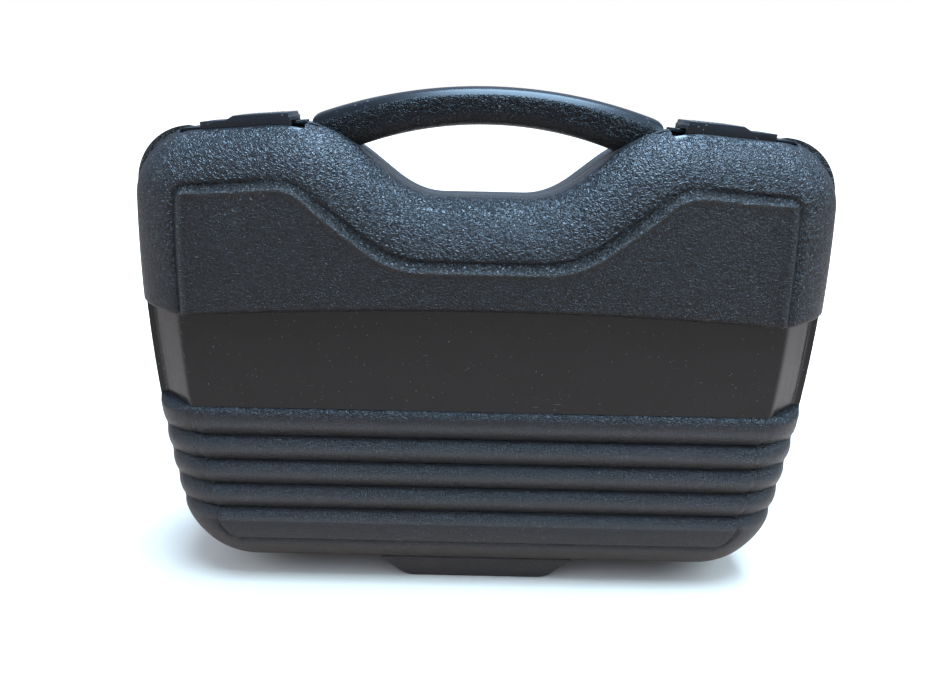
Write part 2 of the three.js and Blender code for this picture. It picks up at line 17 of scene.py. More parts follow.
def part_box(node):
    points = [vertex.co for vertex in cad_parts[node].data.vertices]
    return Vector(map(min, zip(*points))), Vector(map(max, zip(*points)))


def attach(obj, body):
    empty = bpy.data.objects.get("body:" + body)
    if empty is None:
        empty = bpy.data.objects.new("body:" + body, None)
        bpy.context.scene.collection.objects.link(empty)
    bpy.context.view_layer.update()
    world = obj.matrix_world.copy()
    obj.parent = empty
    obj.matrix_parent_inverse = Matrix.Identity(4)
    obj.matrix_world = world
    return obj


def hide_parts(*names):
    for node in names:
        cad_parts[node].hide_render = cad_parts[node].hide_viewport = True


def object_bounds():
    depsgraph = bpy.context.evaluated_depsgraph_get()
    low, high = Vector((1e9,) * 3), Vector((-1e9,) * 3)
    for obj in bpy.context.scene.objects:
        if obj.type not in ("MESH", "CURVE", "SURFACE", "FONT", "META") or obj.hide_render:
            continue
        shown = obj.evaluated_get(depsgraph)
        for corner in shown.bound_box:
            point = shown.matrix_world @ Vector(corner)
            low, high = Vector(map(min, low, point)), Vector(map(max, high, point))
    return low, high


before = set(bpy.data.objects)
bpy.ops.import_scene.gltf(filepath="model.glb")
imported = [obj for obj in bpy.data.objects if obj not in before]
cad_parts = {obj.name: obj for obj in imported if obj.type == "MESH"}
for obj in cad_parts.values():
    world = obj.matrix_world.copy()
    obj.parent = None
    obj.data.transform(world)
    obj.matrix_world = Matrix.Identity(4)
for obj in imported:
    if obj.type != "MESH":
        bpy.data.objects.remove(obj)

cad_low, cad_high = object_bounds()
print("the whole case, in metres:", [round(high - low, 4) for low, high in zip(cad_low, cad_high)])

# %% [markdown]
# ## Sizes
# The frame says how wide, deep and high the case is and where its two halves meet, which is the
# height and depth of the hinge pin. The outline's own radii and slopes are drawing sizes, so they
# are written here in millimetres, and a mesh is turned into metres only when it is made.

# %% Sizes read from the frame
MM = 0.001


def middle_of(node):
    low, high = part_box(node)
    return (low + high) / 2


PARTING = middle_of("hinge_pin").y
HINGE_HEIGHT = middle_of("hinge_pin").z / MM
CASE_WIDTH = (cad_high[0] - cad_low[0]) / MM
FRONT_DEPTH = (PARTING - cad_low[1]) / MM
REAR_DEPTH = (cad_high[1] - PARTING) / MM
HANDLE_CROWN = cad_high[2] / MM
print("front half", round(FRONT_DEPTH, 1), "mm deep, rear half", round(REAR_DEPTH, 1), "mm deep")

# %% Sizes of the outline and the relief, in millimetres
WIDEST_AT = 160
SIDE_BOW_RADIUS = 800
BOTTOM_EDGE = 12
SHOULDER_EDGE = 284
SHOULDER_SLOPE = 0.08
TOP_CORNER_RADIUS = 34
BOTTOM_CORNER_RADIUS = 41
OPENING_FLOOR = 249
OPENING_FLOOR_WIDTH = 77
OPENING_SIDE_SLOPE = 0.795
SHOULDER_BLEND = 20
FLOOR_BLEND = 12
PANEL_BLEND = 6
PULL_BLEND = 12
TOP_PULL = 1.12
SIDE_PULL = 1.2
BOTTOM_PULL = 1.35
WALL = 3
RIM_DEPTH = 4.5
RIM_GAP = 0.15
SLOPE_INSET = 34
SLOPE_FULLNESS = 1.8
PANEL_STEP = 3.5
BAND_DEPTH = 24.5
BAND_INSET = 31.5
BAND_BOTTOM = 126.4
BAND_TOP = 183
BAND_ARCH = 6
BAND_SIDE_RISE = 4.2
GROOVE_DEPTH = 23
RIB_HEIGHT = 4.5
RIB_COUNT = 4
RIB_PITCH = 16.8
LOWEST_GROOVE = 57.2

TOP_CORNER_CENTRE = SHOULDER_EDGE - TOP_CORNER_RADIUS
BOTTOM_CORNER_CENTRE = BOTTOM_EDGE + BOTTOM_CORNER_RADIUS
SLOPE_DEPTH = FRONT_DEPTH - PANEL_STEP
SLOPE_ANGLE = math.atan(SHOULDER_SLOPE)
OPENING_SIDE_ANGLE = math.atan(OPENING_SIDE_SLOPE)

# %% [markdown]
# ## The outline
# The mould's outline is made of few curves: bowed sides, round corners, two sloping shoulders and
# a hand opening with slanted sides. It could be drawn as a curve and filled, but a rule is better
# here, because the same rule then tells how far any point lies inside the outline, and the slopes
# are a rounded climb over that distance. A smooth minimum rounds the corner where two of the
# lines meet.

# %% Rules of the outline
def smooth_min(a, b, k):
    overlap = np.maximum(k - np.abs(a - b), 0) / k
    return np.minimum(a, b) - overlap * overlap * k / 4


def smooth_max(a, b, k):
    return -smooth_min(-a, -b, k)


def smooth_step(start, end, value):
    t = np.clip((value - start) / (end - start), 0, 1)
    return t * t * (3 - 2 * t)


def bump_at(value, middle, width):
    return np.exp(-((value - middle) / width) ** 2)


def bowed_half_width(z):
    return CASE_WIDTH / 2 - (z - WIDEST_AT) ** 2 / (2 * SIDE_BOW_RADIUS)


SHOULDER_START = bowed_half_width(TOP_CORNER_CENTRE) - TOP_CORNER_RADIUS


def shoulder_line(x):
    return SHOULDER_EDGE + SHOULDER_SLOPE * (SHOULDER_START - np.abs(x))


def opening_side_line(x):
    return OPENING_FLOOR + OPENING_SIDE_SLOPE * (np.abs(x) - OPENING_FLOOR_WIDTH / 2)


def top_edge(x, inset):
    shoulder = shoulder_line(x) - inset / math.cos(SLOPE_ANGLE)
    side = opening_side_line(x) - inset / math.cos(OPENING_SIDE_ANGLE)
    opening = smooth_max(side, np.full_like(side, OPENING_FLOOR - inset), FLOOR_BLEND)
    return smooth_min(shoulder, opening, SHOULDER_BLEND)


def side_edge(z, inset):
    def arc(centre, radius):
        r = max(radius - inset, 1)
        along = np.minimum(np.abs(z - centre), r)
        return bowed_half_width(centre) - inset - r + np.sqrt(r * r - along * along)

    top_arc = arc(TOP_CORNER_CENTRE, TOP_CORNER_RADIUS)
    bottom_arc = arc(BOTTOM_CORNER_CENTRE, BOTTOM_CORNER_RADIUS)
    edge = np.where(z > TOP_CORNER_CENTRE, top_arc, bowed_half_width(z) - inset)
    return np.where(z < BOTTOM_CORNER_CENTRE, bottom_arc, edge)


def rounded(a, b, radius):
    corner = radius - np.hypot(np.maximum(radius - a, 0), np.maximum(radius - b, 0))
    return np.where((a < radius) | (b < radius), corner, np.minimum(a, b))


def inset_blended(x, z, blend):
    # The slopes are shorter at the top, the sides and the bottom than under the hand opening, so
    # there the distance is stretched. It stays nothing at the edge itself.
    shoulder = (shoulder_line(x) - z) * math.cos(SLOPE_ANGLE)
    side = (opening_side_line(x) - z) * math.cos(OPENING_SIDE_ANGLE)
    top = smooth_min(shoulder, smooth_max(side, OPENING_FLOOR - z, FLOOR_BLEND), blend)
    across = bowed_half_width(z) - np.abs(x)
    inset = rounded(rounded(across, top, TOP_CORNER_RADIUS), z - BOTTOM_EDGE, BOTTOM_CORNER_RADIUS)
    nearest_top = smooth_step(-PULL_BLEND, PULL_BLEND, np.minimum(across, side) - shoulder)
    nearest_side = smooth_step(-PULL_BLEND, PULL_BLEND, np.minimum(top, z - BOTTOM_EDGE) - across)
    nearest_bottom = smooth_step(-PULL_BLEND, PULL_BLEND, np.minimum(across, top) - z + BOTTOM_EDGE)
    pull = (TOP_PULL - 1) * nearest_top + (SIDE_PULL - 1) * nearest_side + (BOTTOM_PULL - 1) * nearest_bottom
    return inset * (1 + pull)


def inset_of(x, z):
    # The shoulder's bend is soft at the edge of the case and tight at the border of the panel.
    first = inset_blended(x, z, SHOULDER_BLEND)
    share = np.clip(first / SLOPE_INSET, 0, 1)
    return inset_blended(x, z, SHOULDER_BLEND + (PANEL_BLEND - SHOULDER_BLEND) * share)


print("the shoulder starts", round(SHOULDER_START, 1), "mm from the middle")

# %% [markdown]
# ## A lattice that fits the outline
# A square grid cut to the outline would have ragged edges. This lattice is bent to fit instead:
# its outer columns keep their distance from the sides, its rows slowly bend until the last one is
# the top edge, and a few rows bend along the arched upper edge of the band, so that its crease
# runs along a row and not across many.

# %% The lattice
SPREAD = BAND_TOP + BAND_ARCH + 9
BENT_AT = SHOULDER_EDGE - SLOPE_INSET
BAND_PULL_BELOW = 150
BAND_PULL_ABOVE = 232
BAND_PULL_HELD = 6


def band_top_at(x):
    corner = CASE_WIDTH / 2 - BAND_INSET / SIDE_PULL
    across = np.minimum(np.abs(x) / corner, 1)
    around = np.maximum(np.abs(x) - corner, 0) / BAND_INSET
    return BAND_TOP + BAND_ARCH * (1 - across * across) + BAND_SIDE_RISE * around


def columns_from(distances, shares):
    left = [(-1, d) for d in distances]
    middle = [(0, s) for s in shares]
    right = [(1, d) for d in reversed(distances)]
    return np.array(left + middle + right, float)


def place(columns, half):
    side, value = columns[:, 0], columns[:, 1]
    by_side = side * (half[:, None] - value)
    by_share = value * (half[:, None] - SLOPE_INSET)
    return np.where(side == 0, by_share, by_side)


def lattice(columns, rows, inset, follow_band=False):
    share = (rows - BOTTOM_EDGE) / (SHOULDER_EDGE - BOTTOM_EDGE)
    height = BOTTOM_EDGE + inset + share * (SHOULDER_EDGE - BOTTOM_EDGE - 2 * inset)
    bend = np.clip((rows - SPREAD) / (BENT_AT - SPREAD), 0, 1)
    x = place(columns, side_edge(height, inset))
    top_x = place(columns, side_edge(np.array([SHOULDER_EDGE - inset]), inset))[0]
    above = top_edge(top_x, inset) - (SHOULDER_EDGE - inset)
    z = height[:, None] + bend[:, None] * above
    if follow_band:
        rising = (rows - BAND_PULL_BELOW) / (BAND_TOP - BAND_PULL_BELOW)
        falling = (BAND_PULL_ABOVE - rows) / (BAND_PULL_ABOVE - BAND_TOP - BAND_PULL_HELD)
        pull = np.clip(np.minimum(rising, falling), 0, 1)
        z = z + pull[:, None] * (band_top_at(x) - BAND_TOP)
    return x, z


def round_run(length, steps):
    return [length * (1 - math.cos(math.pi / 2 * i / steps)) for i in range(steps + 1)]


# %% [markdown]
# ## From lattice to solid
# A loft starts with a flat face on the parting plane, climbs the outline ring by ring, and ends in
# a crown, which is the whole lattice with a depth for each point. Blender could skin profiles with
# a curve tool, but arrays give exact control over every ring and are quick for large sheets.

# %% Lofted solids
def make_object(name, points, faces):
    mesh = bpy.data.meshes.new(name)
    placed = np.array(points, float) * MM + np.array([0, PARTING, 0])
    mesh.from_pydata(placed.tolist(), [], faces)
    mesh.validate()
    work = bmesh.new()
    work.from_mesh(mesh)
    bmesh.ops.remove_doubles(work, verts=work.verts, dist=1e-7)
    bmesh.ops.recalc_face_normals(work, faces=work.faces)
    work.to_mesh(mesh)
    work.free()
    piece = bpy.data.objects.new(name, mesh)
    bpy.context.scene.collection.objects.link(piece)
    return piece


def border_of(nx, nz):
    bottom = [(0, i) for i in range(nx - 1)]
    right = [(j, nx - 1) for j in range(nz - 1)]
    top = [(nz - 1, i) for i in range(nx - 1, 0, -1)]
    left = [(j, 0) for j in range(nz - 1, 0, -1)]
    return bottom + right + top + left


def lofted(name, columns, rows, rings, crown, follow_band=False):
    rows = np.array(rows, float)
    nx, nz = len(columns), len(rows)
    border = border_of(nx, nz)
    edge_rows = [j for j, _ in border]
    edge_columns = [i for _, i in border]
    count = len(border)
    points = []
    for inset, y in rings:
        x, z = lattice(columns, rows, inset, follow_band)
        ring = np.stack([x, np.full_like(x, y), z], axis=-1)
        points.append(ring[edge_rows, edge_columns])
    x, z = lattice(columns, rows, rings[-1][0], follow_band)
    points.append(np.stack([x, crown(x, z), z], axis=-1).reshape(-1, 3))
    last = count * len(rings)
    loops = [[count * k + i for i in range(count)] for k in range(len(rings))]
    loops.append([last + j * nx + i for j, i in border])
    faces = [list(reversed(loops[0]))]
    for lower, upper in zip(loops, loops[1:]):
        for i in range(count):
            k = (i + 1) % count
            faces.append([lower[i], lower[k], upper[k], upper[i]])
    for j in range(nz - 1):
        for i in range(nx - 1):
            a = last + j * nx + i
            faces.append([a, a + 1, a + nx + 1, a + nx])
    return make_object(name, np.concatenate(points), faces)


# %% [markdown]
# ## Helpers for small solids and for joining
# Beds, rails, keepers and knuckles are prisms: an outline pushed along one direction. Joining and
# cutting uses the Boolean modifier with the manifold solver, which is quick on closed meshes, and
# its result replaces the mesh at once, so no modifier stays on a piece.

# %% Prisms, barrels and joins
def finished_mesh(piece):
    bpy.context.view_layer.update()
    evaluated = piece.evaluated_get(bpy.context.evaluated_depsgraph_get())
    mesh = bpy.data.meshes.new_from_object(evaluated)
    piece.modifiers.clear()
    piece.data = mesh
    return piece


SOFTENED_FROM = 30
BARREL_SIDES = 48
CORNER_STEPS = 6


def soften(piece, width, segments=2):
    bevel = piece.modifiers.new("Soft edges", "BEVEL")
    bevel.width = width * MM
    bevel.segments = segments
    bevel.limit_method = "ANGLE"
    bevel.angle_limit = math.radians(SOFTENED_FROM)
    return finished_mesh(piece)


def combine(piece, tool, operation):
    boolean = piece.modifiers.new("Combine", "BOOLEAN")
    boolean.operation = operation
    boolean.solver = "MANIFOLD"
    boolean.object = tool
    finished_mesh(piece)
    return piece


def joined(piece, *tools):
    for tool in tools:
        combine(piece, tool, "UNION")
        bpy.data.objects.remove(tool)
    return piece


def cut(piece, *tools):
    for tool in tools:
        combine(piece, tool, "DIFFERENCE")
        bpy.data.objects.remove(tool)
    return piece


def copy_of(piece, name):
    twin = bpy.data.objects.new(name, piece.data.copy())
    bpy.context.scene.collection.objects.link(twin)
    return twin


def prism(name, outline, along, start, end, frame_matrix=None):
    points = []
    for reach in (start, end):
        for a, b in outline:
            point = Vector((reach, a, b) if along == "x" else (a, reach, b))
            points.append(frame_matrix @ point if frame_matrix else point)
    count = len(outline)
    faces = [list(range(count)), list(range(2 * count - 1, count - 1, -1))]
    for i in range(count):
        k = (i + 1) % count
        faces.append([i, i + count, k + count, k])
    return make_object(name, [tuple(p) for p in points], faces)


def block(name, low, high, frame_matrix=None):
    outline = [(low[1], low[2]), (high[1], low[2]), (high[1], high[2]), (low[1], high[2])]
    return prism(name, outline, "x", low[0], high[0], frame_matrix)


def barrel(name, radius, start, end):
    turns = [2 * math.pi * i / BARREL_SIDES for i in range(BARREL_SIDES)]
    outline = [(radius * math.cos(a), HINGE_HEIGHT + radius * math.sin(a)) for a in turns]
    return prism(name, outline, "x", start, end)


def rounded_polygon(corners, radii):
    outline = []
    count = len(corners)
    for i, radius in enumerate(radii):
        corner = Vector(corners[i])
        before = (Vector(corners[i - 1]) - corner).normalized()
        after = (Vector(corners[(i + 1) % count]) - corner).normalized()
        if radius == 0:
            outline.append(tuple(corner))
            continue
        start = corner + before * radius
        end = corner + after * radius
        for k in range(CORNER_STEPS + 1):
            t = k / CORNER_STEPS
            outline.append(tuple((1 - t) ** 2 * start + 2 * t * (1 - t) * corner + t * t * end))
    return outline


# %% [markdown]
# ## Plastics
# The case is black polyethylene. What makes it look real is not its colour but its grain: the mould
# is etched, so the skin has a wormy pebble about two millimetres wide, finer on the flat panel
# and the ribs, and none at all on the band, where dust and fine scratches show instead. It is made
# from noise in object coordinates, so it sticks to the piece when the lid swings. Attributes named
# grain_fine, grain_bare and wear_and_sheen are written on the mesh later and say where each finish is.
# The last one lightens the colour towards dust: real wear in some places, painted highlights and
# painted reflections in others.

# %% Helpers for node trees
def new_material(name):
    material = bpy.data.materials.new(name)
    material.use_nodes = True
    tree = material.node_tree
    return material, tree, tree.nodes["Principled BSDF"]


def add(tree, kind, inputs=None, **settings):
    node = tree.nodes.new(kind)
    for key, value in settings.items():
        setattr(node, key, value)
    for key, value in (inputs or {}).items():
        if isinstance(value, bpy.types.NodeSocket):
            tree.links.new(value, node.inputs[key])
        else:
            node.inputs[key].default_value = value
    return node


def arithmetic(tree, operation, a, b=0.0, clamp=False):
    node = add(tree, "ShaderNodeMath", {0: a, 1: b}, operation=operation, use_clamp=clamp)
    return node.outputs[0]


def blend_numbers(tree, factor, a, b):
    node = add(tree, "ShaderNodeMix", {"Factor": factor, "A": a, "B": b})
    return node.outputs["Result"]


def blend_colours(tree, factor, a, b):
    node = tree.nodes.new("ShaderNodeMix")
    node.data_type = "RGBA"
    for index, value in ((0, factor), (6, a), (7, b)):
        if isinstance(value, bpy.types.NodeSocket):
            tree.links.new(value, node.inputs[index])
        elif index == 0:
            node.inputs[index].default_value = value
        else:
            node.inputs[index].default_value = (*value, 1)
    return node.outputs[2]


def noise(tree, coordinates, size, detail=2.0, distortion=0.0):
    node = add(tree, "ShaderNodeTexNoise", {
        "Vector": coordinates, "Scale": 1 / (size * MM), "Detail": detail, "Distortion": distortion,
    })
    return node.outputs["Fac"]


def ramp(tree, value, start, end):
    node = add(tree, "ShaderNodeMapRange", {
        "Value": value, "From Min": start, "From Max": end, "To Min": 0.0, "To Max": 1.0,
    })
    return node.outputs["Result"]


def worms(tree, coordinates, size, width):
    # The places where smooth noise passes its middle value form long winding grooves.
    field = noise(tree, coordinates, size, detail=1.0, distortion=0.8)
    distance = arithmetic(tree, "ABSOLUTE", arithmetic(tree, "SUBTRACT", field, 0.5))
    return ramp(tree, distance, 0.0, width)


def attribute(tree, name):
    return add(tree, "ShaderNodeAttribute", attribute_name=name).outputs["Fac"]


# %% The grained plastic
def grained_plastic(name, colour, dust, pebble, grit, roughness, relief, shine, marked=True):
    material, tree, shader = new_material(name)
    where = add(tree, "ShaderNodeTexCoord").outputs["Object"]
    coarse = worms(tree, where, pebble, 0.16)
    fine = worms(tree, where, grit, 0.2)
    broad = noise(tree, where, 60, detail=3)
    if marked:
        share_fine = attribute(tree, "grain_fine")
        bare = attribute(tree, "grain_bare")
        wear_and_sheen_amount = attribute(tree, "wear_and_sheen")
    else:
        share_fine, bare, wear_and_sheen_amount = 0.0, 0.0, 0.0
    coarse_height = arithmetic(tree, "ADD", coarse, arithmetic(tree, "MULTIPLY", fine, 0.25))
    fine_height = arithmetic(tree, "MULTIPLY", fine, 0.8)
    height = blend_numbers(tree, share_fine, coarse_height, fine_height)
    height = arithmetic(tree, "MULTIPLY", height, arithmetic(tree, "SUBTRACT", 1.0, bare))
    specks = ramp(tree, noise(tree, where, 1.1, detail=0), 0.74, 0.8)
    patches = ramp(tree, noise(tree, where, 24, detail=4), 0.5, 0.72)
    scuffs = arithmetic(tree, "MULTIPLY", specks, arithmetic(tree, "ADD", patches, wear_and_sheen_amount), clamp=True)
    tone = blend_colours(tree, broad, colour, [c * 1.5 for c in colour])
    # This point attribute lightens the tone towards the dust colour. It is real wear on the feet, back and
    # handle, and painted light on the shells: a painted reflection on the rib crests, a painted highlight on
    # the panel border, a painted sky sheen in the hand opening, and a lighter low edge on the front.
    tone = blend_colours(tree, arithmetic(tree, "MULTIPLY", wear_and_sheen_amount, 0.35), tone, dust)
    tone = blend_colours(tree, arithmetic(tree, "MULTIPLY", scuffs, 0.5), tone, dust)
    tree.links.new(tone, shader.inputs["Base Color"])
    matte = arithmetic(tree, "MULTIPLY", broad, 0.12)
    matte = arithmetic(tree, "ADD", matte, arithmetic(tree, "MULTIPLY", scuffs, 0.25))
    tree.links.new(arithmetic(tree, "ADD", matte, roughness, clamp=True), shader.inputs["Roughness"])
    bump = add(tree, "ShaderNodeBump", {"Height": height, "Strength": 1.0, "Distance": relief * MM})
    tree.links.new(bump.outputs["Normal"], shader.inputs["Normal"])
    shader.inputs["Specular IOR Level"].default_value = shine
    return material


# %% The smooth plastic, with dust and fine scratches
def smooth_plastic(name, colour, dust, roughness, smear, shine):
    material, tree, shader = new_material(name)
    where = add(tree, "ShaderNodeTexCoord").outputs["Object"]
    clouds = noise(tree, where, 38, detail=4, distortion=1.5)
    smudges = ramp(tree, clouds, 0.44, 0.5)
    specks = ramp(tree, noise(tree, where, 1.1, detail=0), 0.82, 0.86)
    stretched = add(tree, "ShaderNodeMapping", {
        "Vector": where, "Scale": (0.08, 1, 1), "Rotation": (0, 0.5, 0),
    })
    lines = ramp(tree, noise(tree, stretched.outputs[0], 0.5, detail=0), 0.74, 0.79)
    sparse = ramp(tree, noise(tree, where, 17, detail=2), 0.56, 0.66)
    scratches = arithmetic(tree, "MULTIPLY", lines, sparse)
    marks = arithmetic(tree, "ADD", specks, arithmetic(tree, "MULTIPLY", scratches, 0.5), clamp=True)
    tone = blend_colours(tree, smudges, colour, [c * 1.35 for c in colour])
    tone = blend_colours(tree, arithmetic(tree, "MULTIPLY", marks, 0.45), tone, dust)
    tree.links.new(tone, shader.inputs["Base Color"])
    matte = arithmetic(tree, "MULTIPLY", smudges, smear)
    matte = arithmetic(tree, "ADD", matte, arithmetic(tree, "MULTIPLY", marks, 0.3))
    tree.links.new(arithmetic(tree, "ADD", matte, roughness, clamp=True), shader.inputs["Roughness"])
    waves = noise(tree, where, 30, detail=1)
    height = arithmetic(tree, "SUBTRACT", waves, arithmetic(tree, "MULTIPLY", scratches, 0.02))
    bump = add(tree, "ShaderNodeBump", {"Height": height, "Strength": 0.5, "Distance": 0.8 * MM})
    tree.links.new(bump.outputs["Normal"], shader.inputs["Normal"])
    shader.inputs["Specular IOR Level"].default_value = shine
    return material


# %% Foam, felt and steel
def foam_material(name, colour, cell):
    material, tree, shader = new_material(name)
    where = add(tree, "ShaderNodeTexCoord").outputs["Object"]
    cells = add(tree, "ShaderNodeTexVoronoi", {"Vector": where, "Scale": 1 / (cell * MM)}).outputs["Distance"]
    open_cells = ramp(tree, cells, 0.15, 0.6)
    broad = noise(tree, where, 35, detail=4)
    tone = blend_colours(tree, broad, colour, [c * 1.6 for c in colour])
    shaded = arithmetic(tree, "SUBTRACT", 1.0, open_cells)
    tone = blend_colours(tree, shaded, tone, [c * 0.35 for c in colour])
    tree.links.new(tone, shader.inputs["Base Color"])
    shader.inputs["Roughness"].default_value = 0.95
    shader.inputs["Sheen Weight"].default_value = 0.15
    bump = add(tree, "ShaderNodeBump", {"Height": open_cells, "Strength": 1.0, "Distance": 0.4 * MM})
    tree.links.new(bump.outputs["Normal"], shader.inputs["Normal"])
    return material


def steel_material(name):
    material, tree, shader = new_material(name)
    where = add(tree, "ShaderNodeTexCoord").outputs["Object"]
    drawn = add(tree, "ShaderNodeMapping", {"Vector": where, "Scale": (0.05, 1, 1)}).outputs[0]
    grain = noise(tree, drawn, 0.3, detail=3)
    stains = noise(tree, where, 4, detail=3)
    tone = blend_colours(tree, stains, (0.46, 0.46, 0.47), (0.64, 0.64, 0.65))
    tree.links.new(tone, shader.inputs["Base Color"])
    matte = arithmetic(tree, "ADD", arithmetic(tree, "MULTIPLY", grain, 0.2), 0.22)
    tree.links.new(matte, shader.inputs["Roughness"])
    shader.inputs["Metallic"].default_value = 1.0
    bump = add(tree, "ShaderNodeBump", {"Height": grain, "Strength": 0.3, "Distance": 0.05 * MM})
    tree.links.new(bump.outputs["Normal"], shader.inputs["Normal"])
    return material


BLACK = (0.0042, 0.0044, 0.0052)
# A warmer black for the forward-facing panel and band: the same plastic, with the warm reflection of the
# floor painted into its colour.
WARM_REFLECTION_BLACK = (0.0075, 0.0058, 0.0050)
DUST = (0.32, 0.30, 0.27)
shell_plastic = grained_plastic(
    "pebbled_shell", BLACK, DUST, pebble=2.1, grit=1.3, roughness=0.24, relief=0.42, shine=0.55)
panel_plastic = grained_plastic(
    "panel_grain", WARM_REFLECTION_BLACK, DUST, pebble=2.0, grit=1.5, roughness=0.24, relief=0.62, shine=0.38)
rear_plastic = grained_plastic(
    "rear_shell_grain", (0.012, 0.012, 0.012), DUST,
    pebble=1.9, grit=1.0, roughness=0.36, relief=0.4, shine=0.5)
handle_plastic = grained_plastic(
    "handle_grain", (0.0016, 0.0016, 0.002), DUST,
    pebble=1.8, grit=1.0, roughness=0.24, relief=0.24, shine=0.3)
liner_plastic = grained_plastic(
    "liner_plastic", (0.020, 0.021, 0.023), DUST,
    pebble=1.2, grit=0.6, roughness=0.45, relief=0.15, shine=0.4, marked=False)
band_plastic = smooth_plastic("smooth_band", WARM_REFLECTION_BLACK, DUST, roughness=0.14, smear=0.1, shine=0.36)
latch_plastic = smooth_plastic(
    "latch_plastic", (0.008, 0.008, 0.009), DUST, roughness=0.28, smear=0.1, shine=0.5)
foam = foam_material("dark_foam", (0.030, 0.031, 0.034), 0.9)
felt = foam_material("divider_felt", (0.045, 0.045, 0.048), 0.5)
steel = steel_material("drawn_steel")
print(len(bpy.data.materials), "materials in the file")

# %% [markdown]
# ## Relief of the front shell
# One rule gives the depth of the front skin at every point. Above the band it climbs the rounded
# slope and then steps up to the flat panel, with a fine groove outside the step and a soft bead on
# its edge. The band is a flat face with chamfered sides. Below it the skin starts at the crests of
# the ribs, and a geometry-node tree presses the grooves between them afterwards.

# %% Depth of the front skin
EDGE_ABOVE_BAND = 3.2
EDGE_BELOW_BAND = 5.0
BORDER_GROOVE = 0.9
BORDER_BEAD = 0.6
GROOVE_AT = SLOPE_INSET - 1.6
BEAD_AT = SLOPE_INSET + 3.4
CORNER_CREASE = 1.3
LOWER_BORDER = 0.9
LOWER_BORDER_AT = SLOPE_INSET - 3


def round_over(share, fullness):
    inner = np.clip(share, 0, 1)
    return (1 - (1 - inner) ** fullness) ** (1 / fullness)


def front_depth(x, z):
    inset = inset_of(x, z)
    slope = round_over(inset / SLOPE_INSET, SLOPE_FULLNESS)
    upper = RIM_DEPTH + (SLOPE_DEPTH - RIM_DEPTH) * slope
    upper = upper + PANEL_STEP * smooth_step(SLOPE_INSET - 0.5, SLOPE_INSET + 3, inset)
    upper = upper - BORDER_GROOVE * bump_at(inset, GROOVE_AT, 1.1)
    upper = upper + BORDER_BEAD * bump_at(inset, BEAD_AT, 1.3)
    share = np.clip((inset - RIM_DEPTH) / (BAND_INSET - RIM_DEPTH), 0, 1)
    band = RIM_DEPTH + (BAND_DEPTH - RIM_DEPTH) * share
    crest = GROOVE_DEPTH + RIB_HEIGHT
    lower = RIM_DEPTH + (crest - RIM_DEPTH) * slope
    lower = lower - CORNER_CREASE * bump_at(inset, LOWER_BORDER_AT, 1.2)
    lower = lower + LOWER_BORDER * smooth_step(LOWER_BORDER_AT, SLOPE_INSET + 1, inset) - LOWER_BORDER
    above = round_over((z - band_top_at(x)) / EDGE_ABOVE_BAND, 2)
    below = round_over((BAND_BOTTOM - z) / EDGE_BELOW_BAND, 2)
    return band + (upper - band) * above + (lower - band) * below


# %% [markdown]
# ## Rows and columns of the front sheet
# The rows are close where the skin turns: along the rounded slopes, at both edges of the band and
# across the ribs, where sixteen rows to a rib let every groove fall exactly on a row. The columns
# are close along the upright borders of the panel.

# %% Rows and columns
ROWS_PER_RIB = 16
MIDDLE_COLUMNS = 270
rib_bottom = LOWEST_GROOVE - RIB_PITCH / 2
rib_step = RIB_PITCH / ROWS_PER_RIB
border_at = SLOPE_INSET / SIDE_PULL
side_run = round_run(border_at - 1.5, 20)
side_run += [border_at + step for step in (-0.9, -0.3, 0.3, 0.9, 1.5, 2.1, 2.8, 3.6)]
side_run += [SLOPE_INSET]
front_rows = [BOTTOM_EDGE + rise for rise in round_run(SLOPE_INSET, 24)]
front_rows += [rib_bottom + rib_step * i for i in range(int((BAND_BOTTOM - rib_bottom - 1) / rib_step))]
front_rows += [BAND_BOTTOM - drop for drop in (0.8, 0.35, 0.1, 0)]
front_rows += list(np.linspace(BAND_BOTTOM + 2, BAND_TOP - 2, 12))
front_rows += [BAND_TOP + rise for rise in (0, 0.06, 0.25, 0.6, 1.1, 1.8, 2.6, 3.4)]
front_rows += list(np.arange(BAND_TOP + 4.5, BENT_AT - 0.7, 1.0))
top_run = round_run(26, 20) + list(np.arange(26.8, SLOPE_INSET + 0.1, 0.8))
front_rows += [SHOULDER_EDGE - drop for drop in reversed(top_run)]
front_rows = sorted(front_rows)
middle_shares = [-1 + 2 * i / MIDDLE_COLUMNS for i in range(1, MIDDLE_COLUMNS)]
front_columns = columns_from(side_run, middle_shares)
print(len(front_columns), "columns and", len(front_rows), "rows")

# %% The front sheet, still without ribs
PARTING_CHAMFER = 0.4
front_rings = [(PARTING_CHAMFER, -RIM_GAP), (0, -RIM_GAP - PARTING_CHAMFER)]
front = lofted("front_shell_body", front_columns, front_rows, front_rings,
               lambda x, z: -front_depth(x, z), follow_band=True)
print("front sheet:", len(front.data.vertices), "points")

# %% [markdown]
# ## Ribs by geometry nodes
# Four ribs wrap the lower front. They repeat by a rule, so a geometry-node tree presses them into
# the sheet along its own normal: on the face that is straight back, and round the corner it turns
# sideways, which gives the scalloped edge of the real case. The tree's inputs are the sizes that a
# mould maker would ask for, and a mask on the points keeps the band and the rim flat.

# %% The rib tree
def geometry_tree(name, inputs):
    tree = bpy.data.node_groups.new(name, "GeometryNodeTree")
    tree.interface.new_socket("Geometry", in_out="INPUT", socket_type="NodeSocketGeometry")
    for label, kind in inputs:
        tree.interface.new_socket(label, in_out="INPUT", socket_type=kind)
    tree.interface.new_socket("Geometry", in_out="OUTPUT", socket_type="NodeSocketGeometry")
    return tree, tree.nodes.new("NodeGroupInput"), tree.nodes.new("NodeGroupOutput")


